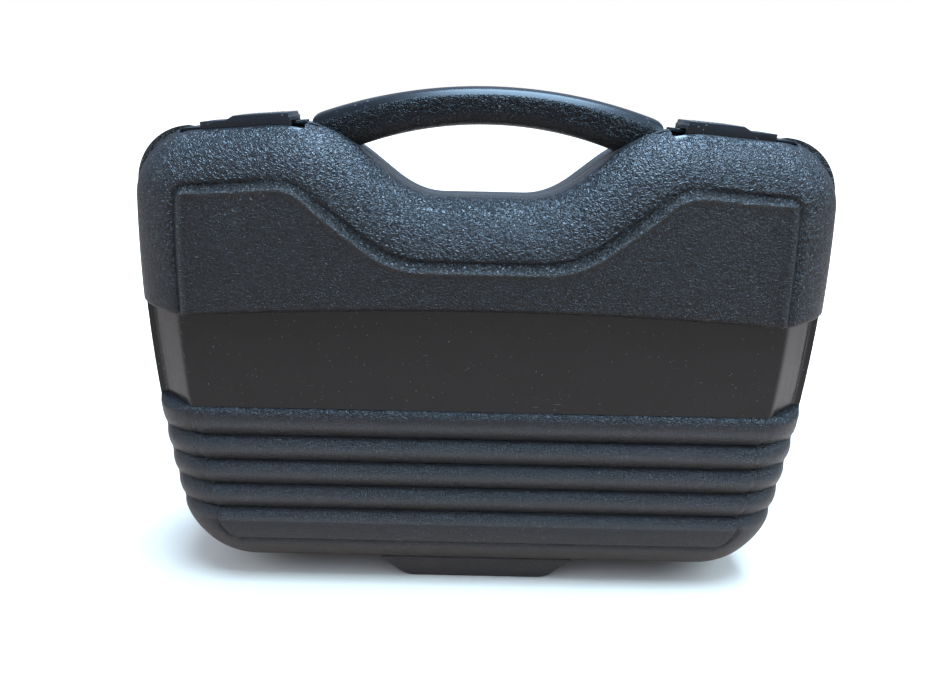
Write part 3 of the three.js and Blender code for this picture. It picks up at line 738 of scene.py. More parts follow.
def close_tree(tree, geometry, source, output):
    realized = add(tree, "GeometryNodeRealizeInstances", {"Geometry": geometry})
    painted = add(tree, "GeometryNodeSetMaterial", {
        "Geometry": realized.outputs[0], "Material": source.outputs["Material"],
    })
    tree.links.new(painted.outputs[0], output.inputs[0])


def run_tree(piece, tree, values):
    modifier = piece.modifiers.new(tree.name, "NODES")
    modifier.node_group = tree
    for item in tree.interface.items_tree:
        if item.in_out == "INPUT" and item.name in values:
            modifier[item.identifier] = values[item.name]
    return finished_mesh(piece)


def named_number(tree, name):
    node = tree.nodes.new("GeometryNodeInputNamedAttribute")
    node.data_type = "FLOAT"
    node.inputs["Name"].default_value = name
    return node.outputs["Attribute"]


def rib_tree():
    tree, source, output = geometry_tree("Pressed ribs", [
        ("Pitch", "NodeSocketFloat"), ("Height", "NodeSocketFloat"),
        ("Lowest groove", "NodeSocketFloat"), ("Count", "NodeSocketInt"), ("Material", "NodeSocketMaterial"),
    ])
    pitch, height = source.outputs["Pitch"], source.outputs["Height"]
    lowest, count = source.outputs["Lowest groove"], source.outputs["Count"]
    position = tree.nodes.new("GeometryNodeInputPosition").outputs[0]
    z = add(tree, "ShaderNodeSeparateXYZ", {0: position}).outputs["Z"]
    half = arithmetic(tree, "MULTIPLY", pitch, 0.5)
    first = arithmetic(tree, "SUBTRACT", lowest, half)
    last = arithmetic(tree, "ADD", first, arithmetic(tree, "MULTIPLY", pitch, count))
    held = arithmetic(tree, "MINIMUM", arithmetic(tree, "MAXIMUM", z, first), last)
    turns = arithmetic(tree, "DIVIDE", arithmetic(tree, "SUBTRACT", held, lowest), pitch)
    wave = arithmetic(tree, "SINE", arithmetic(tree, "MULTIPLY", turns, math.pi))
    wave = arithmetic(tree, "POWER", arithmetic(tree, "ABSOLUTE", wave), 0.75)
    depth = arithmetic(tree, "MULTIPLY", arithmetic(tree, "SUBTRACT", wave, 1.0), height)
    depth = arithmetic(tree, "MULTIPLY", depth, named_number(tree, "rib_mask"))
    normal = tree.nodes.new("GeometryNodeInputNormal").outputs[0]
    offset = add(tree, "ShaderNodeVectorMath", {0: normal, "Scale": depth}, operation="SCALE")
    moved = add(tree, "GeometryNodeSetPosition", {
        "Geometry": source.outputs["Geometry"], "Offset": offset.outputs["Vector"],
    })
    close_tree(tree, moved.outputs[0], source, output)
    return tree


# %% Mask and ribs
def coordinates_of(mesh):
    flat = np.zeros(len(mesh.vertices) * 3, np.float32)
    mesh.vertices.foreach_get("co", flat)
    points = flat.reshape(-1, 3) / MM
    return points[:, 0], points[:, 1] - PARTING / MM, points[:, 2]


def write_number(mesh, name, values):
    layer = mesh.attributes.get(name) or mesh.attributes.new(name, "FLOAT", "POINT")
    layer.data.foreach_set("value", np.clip(values, 0, 1).astype(np.float32))


SIDE_SHARE = 0.4
x, y, z = coordinates_of(front.data)
inward = inset_of(x, z)
off_the_rim = smooth_step(RIM_DEPTH, RIM_DEPTH + 4, -y)
toward_face = SIDE_SHARE + (1 - SIDE_SHARE) * smooth_step(2, 14, inward)
under_band = smooth_step(0, 1.5, BAND_BOTTOM - z)
write_number(front.data, "rib_mask", off_the_rim * toward_face * under_band)
run_tree(front, rib_tree(), {
    "Pitch": RIB_PITCH * MM, "Height": RIB_HEIGHT * MM, "Lowest groove": LOWEST_GROOVE * MM,
    "Count": RIB_COUNT, "Material": shell_plastic,
})
print("ribs pressed into", len(front.data.polygons), "faces")

# %% [markdown]
# ## Hollow, latch beds and hinge of the front shell
# The back of the skin is cut out with a plainer, coarser loft, so the wall is a real wall. Where a
# latch slides, the shell has a bed with a straight floor, and a keeper shaped like a small hook
# stands in it. The hinge block under the bottom edge is a trapezoid with round corners and the
# middle knuckle in its back.

# %% Plain lofts for hollows and for the rear shell
plain_rows = [BOTTOM_EDGE + rise for rise in round_run(BOTTOM_CORNER_RADIUS, 14)]
plain_rows += list(np.linspace(BOTTOM_CORNER_CENTRE + 8, SPREAD, 14))
plain_rows += list(np.linspace(SPREAD + 4, BENT_AT - 2, 12))
plain_rows += [SHOULDER_EDGE - drop for drop in reversed(round_run(SLOPE_INSET, 14))]
PLAIN_COLUMNS = 90
plain_shares = [-1 + 2 * i / PLAIN_COLUMNS for i in range(1, PLAIN_COLUMNS)]
plain_columns = columns_from(round_run(SLOPE_INSET, 9), plain_shares)


def front_hollow():
    depth = GROOVE_DEPTH - WALL

    def crown(x, z):
        return -depth * np.clip((inset_of(x, z) - WALL) / SLOPE_INSET, 0, 1)

    return lofted("front_hollow", plain_columns, plain_rows, [(WALL, WALL)], crown)


# %% The latch frame, which lies along the sloping shoulder
LATCH_AT = 126
RECESS_DEPTH = 5.2
RECESS_INNER = -29
RECESS_OUTER = 38
RECESS_FRONT = 12
RECESS_REAR = 14
RECESS_FLOOR = 3
RECESS_ROOM = 30
BED_TOP = 12
RAIL_ROOT = 1.5
RAIL_HEIGHT = 4
RAIL_HEAD = 2
RAIL_NECK_WIDTH = 4
RAIL_HEAD_WIDTH = 8
RAIL_CENTRE = 6
KEEPER_NECK = 2.5
KEEPER_HEAD = 6.5
KEEPER_START = 1.5
KEEPER_LENGTH = 10
RAIL_END = RECESS_OUTER - 0.4
RAIL_START = -27.5


def latch_frame(side):
    floor = shoulder_line(LATCH_AT) - RECESS_DEPTH
    turn = Matrix.Rotation(SLOPE_ANGLE, 4, "Y")
    move = Matrix.Translation((LATCH_AT, 0, floor))
    mirror = Matrix.Diagonal((side, 1, 1, 1))
    return mirror @ move @ turn


def latch_recess(side):
    low = (RECESS_INNER, -RECESS_FRONT, 0)
    high = (RECESS_OUTER, RECESS_REAR, RECESS_ROOM)
    return soften(block("latch_recess", low, high, latch_frame(side)), 0.6)


def recess_bed(side, start, end):
    low = (RECESS_INNER - WALL, start, -RECESS_FLOOR)
    high = (RECESS_OUTER, end, BED_TOP)
    return block("recess_bed", low, high, latch_frame(side))


def front_keeper(side):
    near, far = -KEEPER_START, -KEEPER_START - KEEPER_HEAD
    neck = near - KEEPER_NECK
    outline = [
        (neck, -RAIL_ROOT), (near, -RAIL_ROOT), (near, RAIL_HEIGHT),
        (far, RAIL_HEIGHT), (far, RAIL_HEAD), (neck, RAIL_HEAD),
    ]
    keeper = prism("keeper", outline, "x", RAIL_END - KEEPER_LENGTH, RAIL_END, latch_frame(side))
    return soften(keeper, 0.35)


def rear_rail(side):
    neck, head = RAIL_NECK_WIDTH / 2, RAIL_HEAD_WIDTH / 2
    c = RAIL_CENTRE
    outline = [
        (c - neck, -RAIL_ROOT), (c + neck, -RAIL_ROOT), (c + neck, RAIL_HEAD), (c + head, RAIL_HEAD),
        (c + head, RAIL_HEIGHT), (c - head, RAIL_HEIGHT), (c - head, RAIL_HEAD), (c - neck, RAIL_HEAD),
    ]
    return soften(prism("rail", outline, "x", RAIL_START, RAIL_END, latch_frame(side)), 0.35)


# %% Cut and join the front shell
KNUCKLE_RADIUS = HINGE_HEIGHT
KNUCKLE_SPLIT = 30
KNUCKLE_END = 45
KNUCKLE_GAP = 0.6
HINGE_FOOT = 93
HINGE_TOP = 128
HINGE_DEPTH = 14
HINGE_CORNER = 6
SKIN_GAP = 2
KNUCKLE_HEADROOM = 0.4
BORE_RADIUS = 1.9
BORE_REACH = 60


def hinge_block():
    bottom, top = HINGE_FOOT / 2, HINGE_TOP / 2
    corners = [(-bottom, 0), (bottom, 0), (top, BOTTOM_EDGE + WALL), (-top, BOTTOM_EDGE + WALL)]
    outline = rounded_polygon(corners, [HINGE_CORNER, HINGE_CORNER, 0, 0])
    body = soften(prism("hinge_block", outline, "y", -HINGE_DEPTH, -RIM_GAP), 1.2, segments=3)
    reach = KNUCKLE_SPLIT - KNUCKLE_GAP
    knuckle = soften(barrel("knuckle", KNUCKLE_RADIUS, -reach, reach), 0.4)
    joined(body, knuckle)
    for side in (-1, 1):
        start, end = sorted((side * (KNUCKLE_SPLIT - KNUCKLE_GAP / 2), side * HINGE_TOP))
        low = (start, -KNUCKLE_RADIUS - SKIN_GAP, -1)
        cut(body, block("room", low, (end, WALL, BOTTOM_EDGE - KNUCKLE_HEADROOM)))
    return cut(body, barrel("bore", BORE_RADIUS, -BORE_REACH, BORE_REACH))


hollow = front_hollow()
for side in (-1, 1):
    cut(hollow, recess_bed(side, -RECESS_FRONT - WALL, -RIM_GAP + WALL + 2))
cut(front, hollow)
for side in (-1, 1):
    cut(front, latch_recess(side))
    joined(front, front_keeper(side))
joined(front, hinge_block())
front.name = "front_shell_skin"
print("front shell:", len(front.data.polygons), "faces")

# %% [markdown]
# ## Where each finish goes
# After the cuts, every face is told its plastic from its place: the band is smooth and the panel
# has a fine grain, both in a warmer black that paints the floor's warm reflection, and the rest is
# pebbled. Three numbers on the points steer the grain and the tone: how fine the grain is, where the
# skin is bare, as on the thin lip at the parting line, and where the colour is lightened towards dust:
# a painted reflection on the rib crests, a painted highlight on the panel's border and a lighter,
# warmer low edge.

# %% Paint by place
def face_middles(mesh):
    flat = np.zeros(len(mesh.polygons) * 3, np.float32)
    mesh.polygons.foreach_get("center", flat)
    points = flat.reshape(-1, 3) / MM
    return points[:, 0], points[:, 1] - PARTING / MM, points[:, 2]


def paint(piece, materials, index):
    mesh = piece.data
    mesh.materials.clear()
    for material in materials:
        mesh.materials.append(material)
    mesh.polygons.foreach_set("material_index", np.broadcast_to(index, len(mesh.polygons)).astype(np.int32))
    mesh.update()


def smooth_shade(piece, angle):
    mesh = piece.data
    mesh.polygons.foreach_set("use_smooth", np.ones(len(mesh.polygons), bool))
    mesh.set_sharp_from_angle(angle=math.radians(angle))


x, y, z = face_middles(front.data)
above_band = z > band_top_at(x)
outer_face = (-y > RIM_DEPTH - 0.2) & (-y > front_depth(x, z) - 1.5)
in_band = (z > BAND_BOTTOM) & (z < band_top_at(x)) & outer_face
on_panel = (inset_of(x, z) > GROOVE_AT) & above_band & (-y > BAND_DEPTH)
finish = np.where(in_band, 1, np.where(on_panel, 2, 0))
paint(front, [shell_plastic, band_plastic, panel_plastic], finish)

# %% Grain, bare lip, painted highlight and reflections, and lighter low edge of the front shell
PANEL_FINENESS = 0.7
RIB_FINENESS = 0.55
CREST_PAINTED_REFLECTION = 0.3
LOW_EDGE_LIGHTENING = 0.35
BORDER_PAINTED_HIGHLIGHT = 0.22
x, y, z = coordinates_of(front.data)
inward = inset_of(x, z)
above_band = z > band_top_at(x)
on_skin = -y > front_depth(x, z) - RIB_HEIGHT - 1
panel = smooth_step(SLOPE_INSET, SLOPE_INSET + 6, inward) * above_band
lower_face = RIB_FINENESS * smooth_step(2, 6, BAND_BOTTOM - z)
lip = 1 - smooth_step(RIM_DEPTH - 1.2, RIM_DEPTH + 0.6, -y)
along = (np.abs(x) - LATCH_AT) * math.cos(SLOPE_ANGLE)
past_inner_end = smooth_step(RECESS_INNER, RECESS_INNER + 1, along)
at_recess = past_inner_end * smooth_step(-RECESS_OUTER, 1 - RECESS_OUTER, -along)
strip = at_recess * smooth_step(-4.4, -3.4, -inward) * (z > BENT_AT)
write_number(front.data, "grain_fine", np.maximum(PANEL_FINENESS * panel, lower_face * ~above_band))
write_number(front.data, "grain_bare", np.maximum(np.maximum(lip, strip), ~on_skin))
# The rib crests are lightened towards the dust colour: a painted reflection of the warm floor, with a few
# scuff specks.
crest = np.abs(np.sin(np.pi * (z - LOWEST_GROOVE) / RIB_PITCH)) ** 6
crest = crest * (z < BAND_BOTTOM) * (z > rib_bottom)
# The lowest part of the front is lighter and warmer towards the bottom edge.
low_edge = smooth_step(-60, -20, -z)
# The bead on the panel's border is lightened: a painted highlight line.
border = bump_at(inward, BEAD_AT, 1.6) * above_band
wear_and_sheen = CREST_PAINTED_REFLECTION * crest + LOW_EDGE_LIGHTENING * low_edge + BORDER_PAINTED_HIGHLIGHT * border
write_number(front.data, "wear_and_sheen", wear_and_sheen)
smooth_shade(front, 40)
print("band faces:", int(in_band.sum()))

# %% [markdown]
# ## Rear shell
# The rear half is the deep one. Its side walls have a slight draft, so that it leaves its mould,
# and turn over a soft round edge into the back, which carries a shallow border groove. It is
# lofted like the front, and its hollow is the same loft moved inwards by the wall.

# %% Rear shell body
REAR_DRAFT = 6
REAR_SHOULDER = 58
REAR_BACK_INSET = 18
REAR_TURN_STEPS = 10
BACK_GROOVE = 1.1
BACK_DIP = 0.5


def rear_rings(extra, shorter, start, chamfer):
    rings = [(extra + chamfer, start), (extra, start + chamfer), (extra, RIM_DEPTH)]
    for share in (0.25, 0.5, 0.75):
        rings.append((extra + REAR_DRAFT * share, RIM_DEPTH + (REAR_SHOULDER - RIM_DEPTH) * share))
    for i in range(REAR_TURN_STEPS + 1):
        turn = math.pi / 2 * i / REAR_TURN_STEPS
        inset = REAR_DRAFT + (REAR_BACK_INSET - REAR_DRAFT) * (1 - math.cos(turn))
        y = REAR_SHOULDER + (REAR_DEPTH - REAR_SHOULDER) * math.sin(turn)
        rings.append((extra + inset, y - shorter))
    return rings


def back_face(x, z):
    inset = inset_of(x, z)
    groove = BACK_GROOVE * bump_at(inset, SLOPE_INSET, 1.6)
    return REAR_DEPTH - groove - BACK_DIP * smooth_step(SLOPE_INSET + 2, SLOPE_INSET + 6, inset)


outer_rings = rear_rings(0, 0, RIM_GAP, PARTING_CHAMFER)
rear_outside = lofted("rear_outside", plain_columns, plain_rows, outer_rings, back_face)
rear_hollow = lofted("rear_hollow", plain_columns, plain_rows, rear_rings(WALL, WALL, -WALL, 0),
                     lambda x, z: np.full_like(x, REAR_DEPTH - WALL))
for side in (-1, 1):
    cut(rear_hollow, recess_bed(side, -WALL - 2, RECESS_REAR + WALL))
rear = copy_of(rear_outside, "rear_shell_skin")
cut(rear, rear_hollow)
print("rear shell:", len(rear.data.polygons), "faces")

# %% Rails, knuckles and feet of the rear shell
FOOT_LENGTH = 50
FOOT_DEPTH = 30
FOOT_AT = 120
FOOT_FRONT = 30
FOOT_TOP = 17
FOOT_CORNER = 3


def rear_knuckle(side):
    start, end = sorted((side * (KNUCKLE_SPLIT + KNUCKLE_GAP / 2), side * KNUCKLE_END))
    web = block("web", (start, RIM_GAP, HINGE_HEIGHT), (end, KNUCKLE_RADIUS, BOTTOM_EDGE + WALL / 2))
    knuckle = soften(barrel("knuckle", KNUCKLE_RADIUS, start, end), 0.4)
    joined(knuckle, web)
    return cut(knuckle, barrel("bore", BORE_RADIUS, -BORE_REACH, BORE_REACH))


def rear_foot(side):
    start, end = sorted((side * (FOOT_AT - FOOT_LENGTH / 2), side * (FOOT_AT + FOOT_LENGTH / 2)))
    corners = [(start, 0), (end, 0), (end, FOOT_TOP), (start, FOOT_TOP)]
    outline = rounded_polygon(corners, [FOOT_CORNER, FOOT_CORNER, 0, 0])
    return soften(prism("foot", outline, "y", FOOT_FRONT, FOOT_FRONT + FOOT_DEPTH), 1.0, segments=3)


for side in (-1, 1):
    cut(rear, latch_recess(side))
    joined(rear, rear_rail(side), rear_knuckle(side), rear_foot(side))

# %% Grain, painted sky sheen and wear of the rear shell
PAINTED_SKY_SHEEN = 0.7
FOOT_WEAR = 0.5
BACK_WEAR = 0.3
paint(rear, [rear_plastic], 0)
x, y, z = coordinates_of(rear.data)
outside = (inset_of(x, z) < REAR_BACK_INSET + 1) | (y > REAR_DEPTH - WALL / 2)
rim_strip = 1 - smooth_step(18, 26, y)
write_number(rear.data, "grain_fine", np.maximum(rim_strip, 0.2))
write_number(rear.data, "grain_bare", ~outside + 0.5 * (y < RIM_DEPTH))
# The rear rim inside the hand opening is lightened towards the dust colour: a painted sheen of the sky on
# this up-facing strip.
in_opening = (z > OPENING_FLOOR - WALL) * (np.abs(x) < SHOULDER_START / 2) * (inset_of(x, z) < WALL)
painted_sky_sheen = PAINTED_SKY_SHEEN * in_opening * smooth_step(RIM_DEPTH / 2, RIM_DEPTH, y)
foot_wear = FOOT_WEAR * smooth_step(-20, 0, -z)
back_wear = BACK_WEAR * smooth_step(REAR_DEPTH - 8, REAR_DEPTH, y)
write_number(rear.data, "wear_and_sheen", painted_sky_sheen + foot_wear + back_wear)
smooth_shade(rear, 40)

# %% [markdown]
# ## Handle
# The handle is an arch of plastic with a soft square section. Its front and underside are grained
# for grip, and its top is bare and shiny, with a fine parting seam along it. It is made as a row
# of sections along the arch, because a bent cylinder could not hold the flat faces.

# %% Handle sections
HANDLE_TOP_RADIUS = 290
HANDLE_UNDER_CROWN = 286.3
HANDLE_UNDER_RADIUS = 210
HANDLE_HALF_SPAN = 96
HANDLE_DEPTH = 31
HANDLE_FRONT = 1
HANDLE_SQUARENESS = 3.4
SEAM_AT = 0.72
SEAM_DEPTH = 0.35
SEAM_WIDTH = 0.05
HANDLE_END_RUN = 5
HANDLE_END_DROP = 1.2
HANDLE_STEPS = 120
SECTION_STEPS = 72


def arch(crown, radius, x):
    return crown - radius + math.sqrt(radius * radius - x * x)


def handle_section(x):
    top = arch(HANDLE_CROWN, HANDLE_TOP_RADIUS, x)
    under = arch(HANDLE_UNDER_CROWN, HANDLE_UNDER_RADIUS, x)
    near_end = max(abs(x) - HANDLE_HALF_SPAN + HANDLE_END_RUN, 0) / HANDLE_END_RUN
    top -= HANDLE_END_DROP * (1 - math.sqrt(max(1 - near_end ** 2, 0)))
    middle = (top + under) / 2
    loop = []
    for i in range(SECTION_STEPS):
        turn = 2 * math.pi * i / SECTION_STEPS
        c, s = math.cos(turn), math.sin(turn)
        size = abs(c) ** HANDLE_SQUARENESS + abs(s) ** HANDLE_SQUARENESS
        stretch = size ** (-1 / HANDLE_SQUARENESS)
        up = s * stretch
        seam = SEAM_DEPTH * math.exp(-((up - SEAM_AT) / SEAM_WIDTH) ** 2)
        y = HANDLE_FRONT + HANDLE_DEPTH / 2 - (HANDLE_DEPTH / 2 - seam) * c * stretch
        z = middle + (top - under) / 2 * up
        loop.append((x, y, z))
    return loop


def handle_mesh():
    points = []
    for k in range(HANDLE_STEPS + 1):
        points += handle_section(HANDLE_HALF_SPAN * (2 * k / HANDLE_STEPS - 1))
    faces = [list(range(SECTION_STEPS))]
    faces.append([HANDLE_STEPS * SECTION_STEPS + i for i in reversed(range(SECTION_STEPS))])
    for k in range(HANDLE_STEPS):
        for i in range(SECTION_STEPS):
            a = k * SECTION_STEPS + i
            b = k * SECTION_STEPS + (i + 1) % SECTION_STEPS
            faces.append([a, a + SECTION_STEPS, b + SECTION_STEPS, b])
    return make_object("carry_handle_grip", points, faces)


handle = handle_mesh()
cut(handle, rear_outside)
paint(handle, [handle_plastic], 0)
x, y, z = coordinates_of(handle.data)
arch_top = np.array([arch(HANDLE_CROWN, HANDLE_TOP_RADIUS, v) for v in x])
arch_under = np.array([arch(HANDLE_UNDER_CROWN, HANDLE_UNDER_RADIUS, v) for v in x])
height_share = (2 * z - arch_top - arch_under) / (arch_top - arch_under)
write_number(handle.data, "grain_bare", smooth_step(SEAM_AT - 0.25, SEAM_AT - 0.05, height_share))
write_number(handle.data, "grain_fine", np.zeros(len(x)))
write_number(handle.data, "wear_and_sheen", 0.2 * bump_at(height_share, -0.8, 0.3))
smooth_shade(handle, 50)
print("handle:", len(handle.data.polygons), "faces")

# %% [markdown]
# ## Latches
# Each latch is a slider with a raised thumb lug. The frame already holds its working shape, with
# the lips that run under the rail and hook under the keeper, so its mesh is copied, its loose
# triangles are merged and its sharp edges are rolled. The thumb ridges repeat, so a small
# geometry-node tree sets rounded bars in a row on the lug.

# %% Copies with soft edges
def softened_copy(node, name, width, segments=2):
    twin = copy_of(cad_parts[node], name)
    work = bmesh.new()
    work.from_mesh(twin.data)
    bmesh.ops.remove_doubles(work, verts=work.verts, dist=1e-6)
    bmesh.ops.dissolve_limit(work, angle_limit=math.radians(1), verts=work.verts, edges=work.edges)
    work.to_mesh(twin.data)
    work.free()
    return soften(twin, width, segments)


# %% The ridge tree
RIDGE_COUNT = 7
RIDGE_PITCH = 2.6
RIDGE_LENGTH = 15
RIDGE_RADIUS = 0.5
RIDGE_SUNK = 0.2


def ridge_tree():
    tree, source, output = geometry_tree("Thumb ridges", [
        ("Count", "NodeSocketInt"), ("Start", "NodeSocketVector"), ("Step", "NodeSocketVector"),
        ("Half length", "NodeSocketFloat"), ("Radius", "NodeSocketFloat"), ("Material", "NodeSocketMaterial"),
    ])
    line = add(tree, "GeometryNodeMeshLine", {
        "Count": source.outputs["Count"], "Start Location": source.outputs["Start"],
        "Offset": source.outputs["Step"],
    })
    half = source.outputs["Half length"]
    front_end = add(tree, "ShaderNodeCombineXYZ", {"Y": arithmetic(tree, "MULTIPLY", half, -1.0)})
    back_end = add(tree, "ShaderNodeCombineXYZ", {"Y": half})
    spine = add(tree, "GeometryNodeCurvePrimitiveLine", {
        "Start": front_end.outputs[0], "End": back_end.outputs[0],
    })
    spine = add(tree, "GeometryNodeResampleCurve", {"Curve": spine.outputs[0], "Count": 9})
    share = tree.nodes.new("GeometryNodeSplineParameter").outputs["Factor"]
    centred = arithmetic(tree, "SUBTRACT", arithmetic(tree, "MULTIPLY", share, 2.0), 1.0)
    near_end = arithmetic(tree, "POWER", arithmetic(tree, "ABSOLUTE", centred), 6.0)
    taper = arithmetic(tree, "SUBTRACT", 1.0, near_end)
    size = arithmetic(tree, "MULTIPLY", source.outputs["Radius"], arithmetic(tree, "MAXIMUM", taper, 0.25))
    profile = add(tree, "GeometryNodeCurvePrimitiveCircle", {"Resolution": 12, "Radius": 1.0})
    bar = add(tree, "GeometryNodeCurveToMesh", {
        "Curve": spine.outputs[0], "Profile Curve": profile.outputs[0], "Scale": size, "Fill Caps": True,
    })
    bars = add(tree, "GeometryNodeInstanceOnPoints", {
        "Points": line.outputs[0], "Instance": bar.outputs[0],
    })
    both = tree.nodes.new("GeometryNodeJoinGeometry")
    tree.links.new(bars.outputs[0], both.inputs[0])
    tree.links.new(source.outputs["Geometry"], both.inputs[0])
    close_tree(tree, both.outputs[0], source, output)
    return tree


# %% Sliders with their ridges
SLIDER_INNER = -22
LUG_LENGTH = 30
LUG_HEIGHT = 8.6
ridges = ridge_tree()
latches = []
for word, side in (("left", -1), ("right", 1)):
    slider = softened_copy(f"latch_slider_{word}", f"latch_{word}_slide", 0.35)
    matrix = latch_frame(side)
    low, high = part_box(f"latch_slider_{word}")
    across = ((low + high) / 2).y / MM - PARTING / MM
    first = SLIDER_INNER + LUG_LENGTH / 2 - RIDGE_PITCH * (RIDGE_COUNT - 1) / 2
    start = matrix @ Vector((first, across, LUG_HEIGHT - RIDGE_SUNK)) * MM + Vector((0, PARTING, 0))
    step = (matrix.to_3x3() @ Vector((RIDGE_PITCH, 0, 0))) * MM
    run_tree(slider, ridges, {
        "Count": RIDGE_COUNT, "Start": start, "Step": step, "Half length": RIDGE_LENGTH / 2 * MM,
        "Radius": RIDGE_RADIUS * MM, "Material": latch_plastic,
    })
    paint(slider, [latch_plastic], 0)
    smooth_shade(slider, 35)
    latches.append(slider)
print("sliders:", [len(s.data.polygons) for s in latches], "faces")

# %% [markdown]
# ## Inside: liners
# Opening the case shows two thin trays. They are lofted with the same lattice as the shells, so
# they follow the outline, and a second loft set in by the tray's wall is cut out of each.

# %% Liners
LINER_WALL = 2
LINER_GAP = 1.2
LINER_LIP = 8
TRAY_DEPTH = 15
TRAY_DRAFT = 0.35
TRAY_TURN_STEPS = 6
liner_inset = WALL + LINER_GAP
rear_liner_back = REAR_DEPTH - WALL - LINER_GAP


def liner_body(name, lip, rings_after, extra, start):
    rings = [(lip + extra, start)] + [(inset + extra, y) for inset, y in rings_after]
    last = rings[-1][1]
    return lofted(name, plain_columns, plain_rows, rings, lambda x, z: np.full_like(x, last))


def curved_rings(lip, floor_inset, end, turn_depth):
    side_inset = lip + (floor_inset - lip) * TRAY_DRAFT
    rings = [(side_inset, end - turn_depth)]
    for i in range(1, TRAY_TURN_STEPS + 1):
        turn = math.pi / 2 * i / TRAY_TURN_STEPS
        inset = side_inset + (floor_inset - side_inset) * (1 - math.cos(turn))
        rings.append((inset, end - turn_depth + turn_depth * math.sin(turn)))
    return rings


def tray(name, floor_inset, start, end, turn_depth):
    lip = liner_inset + LINER_LIP
    outer = liner_body(name, lip, curved_rings(lip, floor_inset, end, turn_depth), 0, start)
    thickness = math.copysign(LINER_WALL, end)
    inner_rings = curved_rings(lip, floor_inset, end - thickness, turn_depth)
    inner = liner_body(name + "_inside", lip, inner_rings, LINER_WALL, start - 3 * thickness)
    cut(outer, inner)
    paint(outer, [liner_plastic], 0)
    smooth_shade(outer, 40)
    return outer


rear_floor_inset = REAR_BACK_INSET + liner_inset
lid_floor_inset = SLOPE_INSET + liner_inset + LINER_GAP
rear_tray = tray("rear_liner_tray", rear_floor_inset, start=1, end=rear_liner_back, turn_depth=16)
lid_tray = tray("front_liner_tray", lid_floor_inset, start=-1, end=-TRAY_DEPTH, turn_depth=-8)
print("liners:", len(rear_tray.data.polygons), "and", len(lid_tray.data.polygons), "faces")

# %% [markdown]
# ## Inside: foam
# The pads are convoluted foam, which everybody knows as egg-crate. Each starts as a closed sheet
# with round corners and a fine grid on its open face, and a geometry-node tree sinks the valleys
# by two crossed waves. The valleys only go inwards, so a pad never outgrows its place.

# %% The egg-crate tree
def crate_tree():
    tree, source, output = geometry_tree("Egg-crate foam", [
        ("Pitch", "NodeSocketFloat"), ("Depth", "NodeSocketFloat"), ("Material", "NodeSocketMaterial"),
    ])
    position = tree.nodes.new("GeometryNodeInputPosition").outputs[0]
    parts = add(tree, "ShaderNodeSeparateXYZ", {0: position})
    turn = arithmetic(tree, "DIVIDE", 2 * math.pi, source.outputs["Pitch"])
    wave_x = arithmetic(tree, "COSINE", arithmetic(tree, "MULTIPLY", parts.outputs["X"], turn))
    wave_z = arithmetic(tree, "COSINE", arithmetic(tree, "MULTIPLY", parts.outputs["Z"], turn))
    hills = arithmetic(tree, "ADD", arithmetic(tree, "MULTIPLY", wave_x, wave_z), 1.0)
    sunk = arithmetic(tree, "SUBTRACT", 1.0, arithmetic(tree, "MULTIPLY", hills, 0.5))
    sunk = arithmetic(tree, "MULTIPLY", sunk, source.outputs["Depth"])
    sunk = arithmetic(tree, "MULTIPLY", sunk, named_number(tree, "crate_mask"))
    offset = add(tree, "ShaderNodeCombineXYZ", {"Y": sunk})
    moved = add(tree, "GeometryNodeSetPosition", {
        "Geometry": source.outputs["Geometry"], "Offset": offset.outputs[0],
    })
    close_tree(tree, moved.outputs[0], source, output)
    return tree


# %% Pads
CRATE_PITCH = 22
PAD_EDGE = 1.2
PAD_STEP = 2.4
PAD_CORNER_ROWS = 8


def pad_sheet(half, low, high, radius):
    rows = [low + v for v in round_run(radius, PAD_CORNER_ROWS)]
    straight = int((high - low - 2 * radius) / PAD_STEP) + 1
    rows += list(np.linspace(low + radius, high - radius, straight))[1:-1]
    rows += [high - v for v in reversed(round_run(radius, PAD_CORNER_ROWS))]
    rows = np.array(rows)
    shares = np.linspace(-1, 1, int(2 * half / PAD_STEP) + 1)
    near = np.minimum(rows - low, high - rows)
    trim = radius - np.sqrt(np.maximum(radius ** 2 - np.maximum(radius - near, 0) ** 2, 0))
    return shares[None, :] * (half - trim)[:, None], np.repeat(rows[:, None], len(shares), 1)


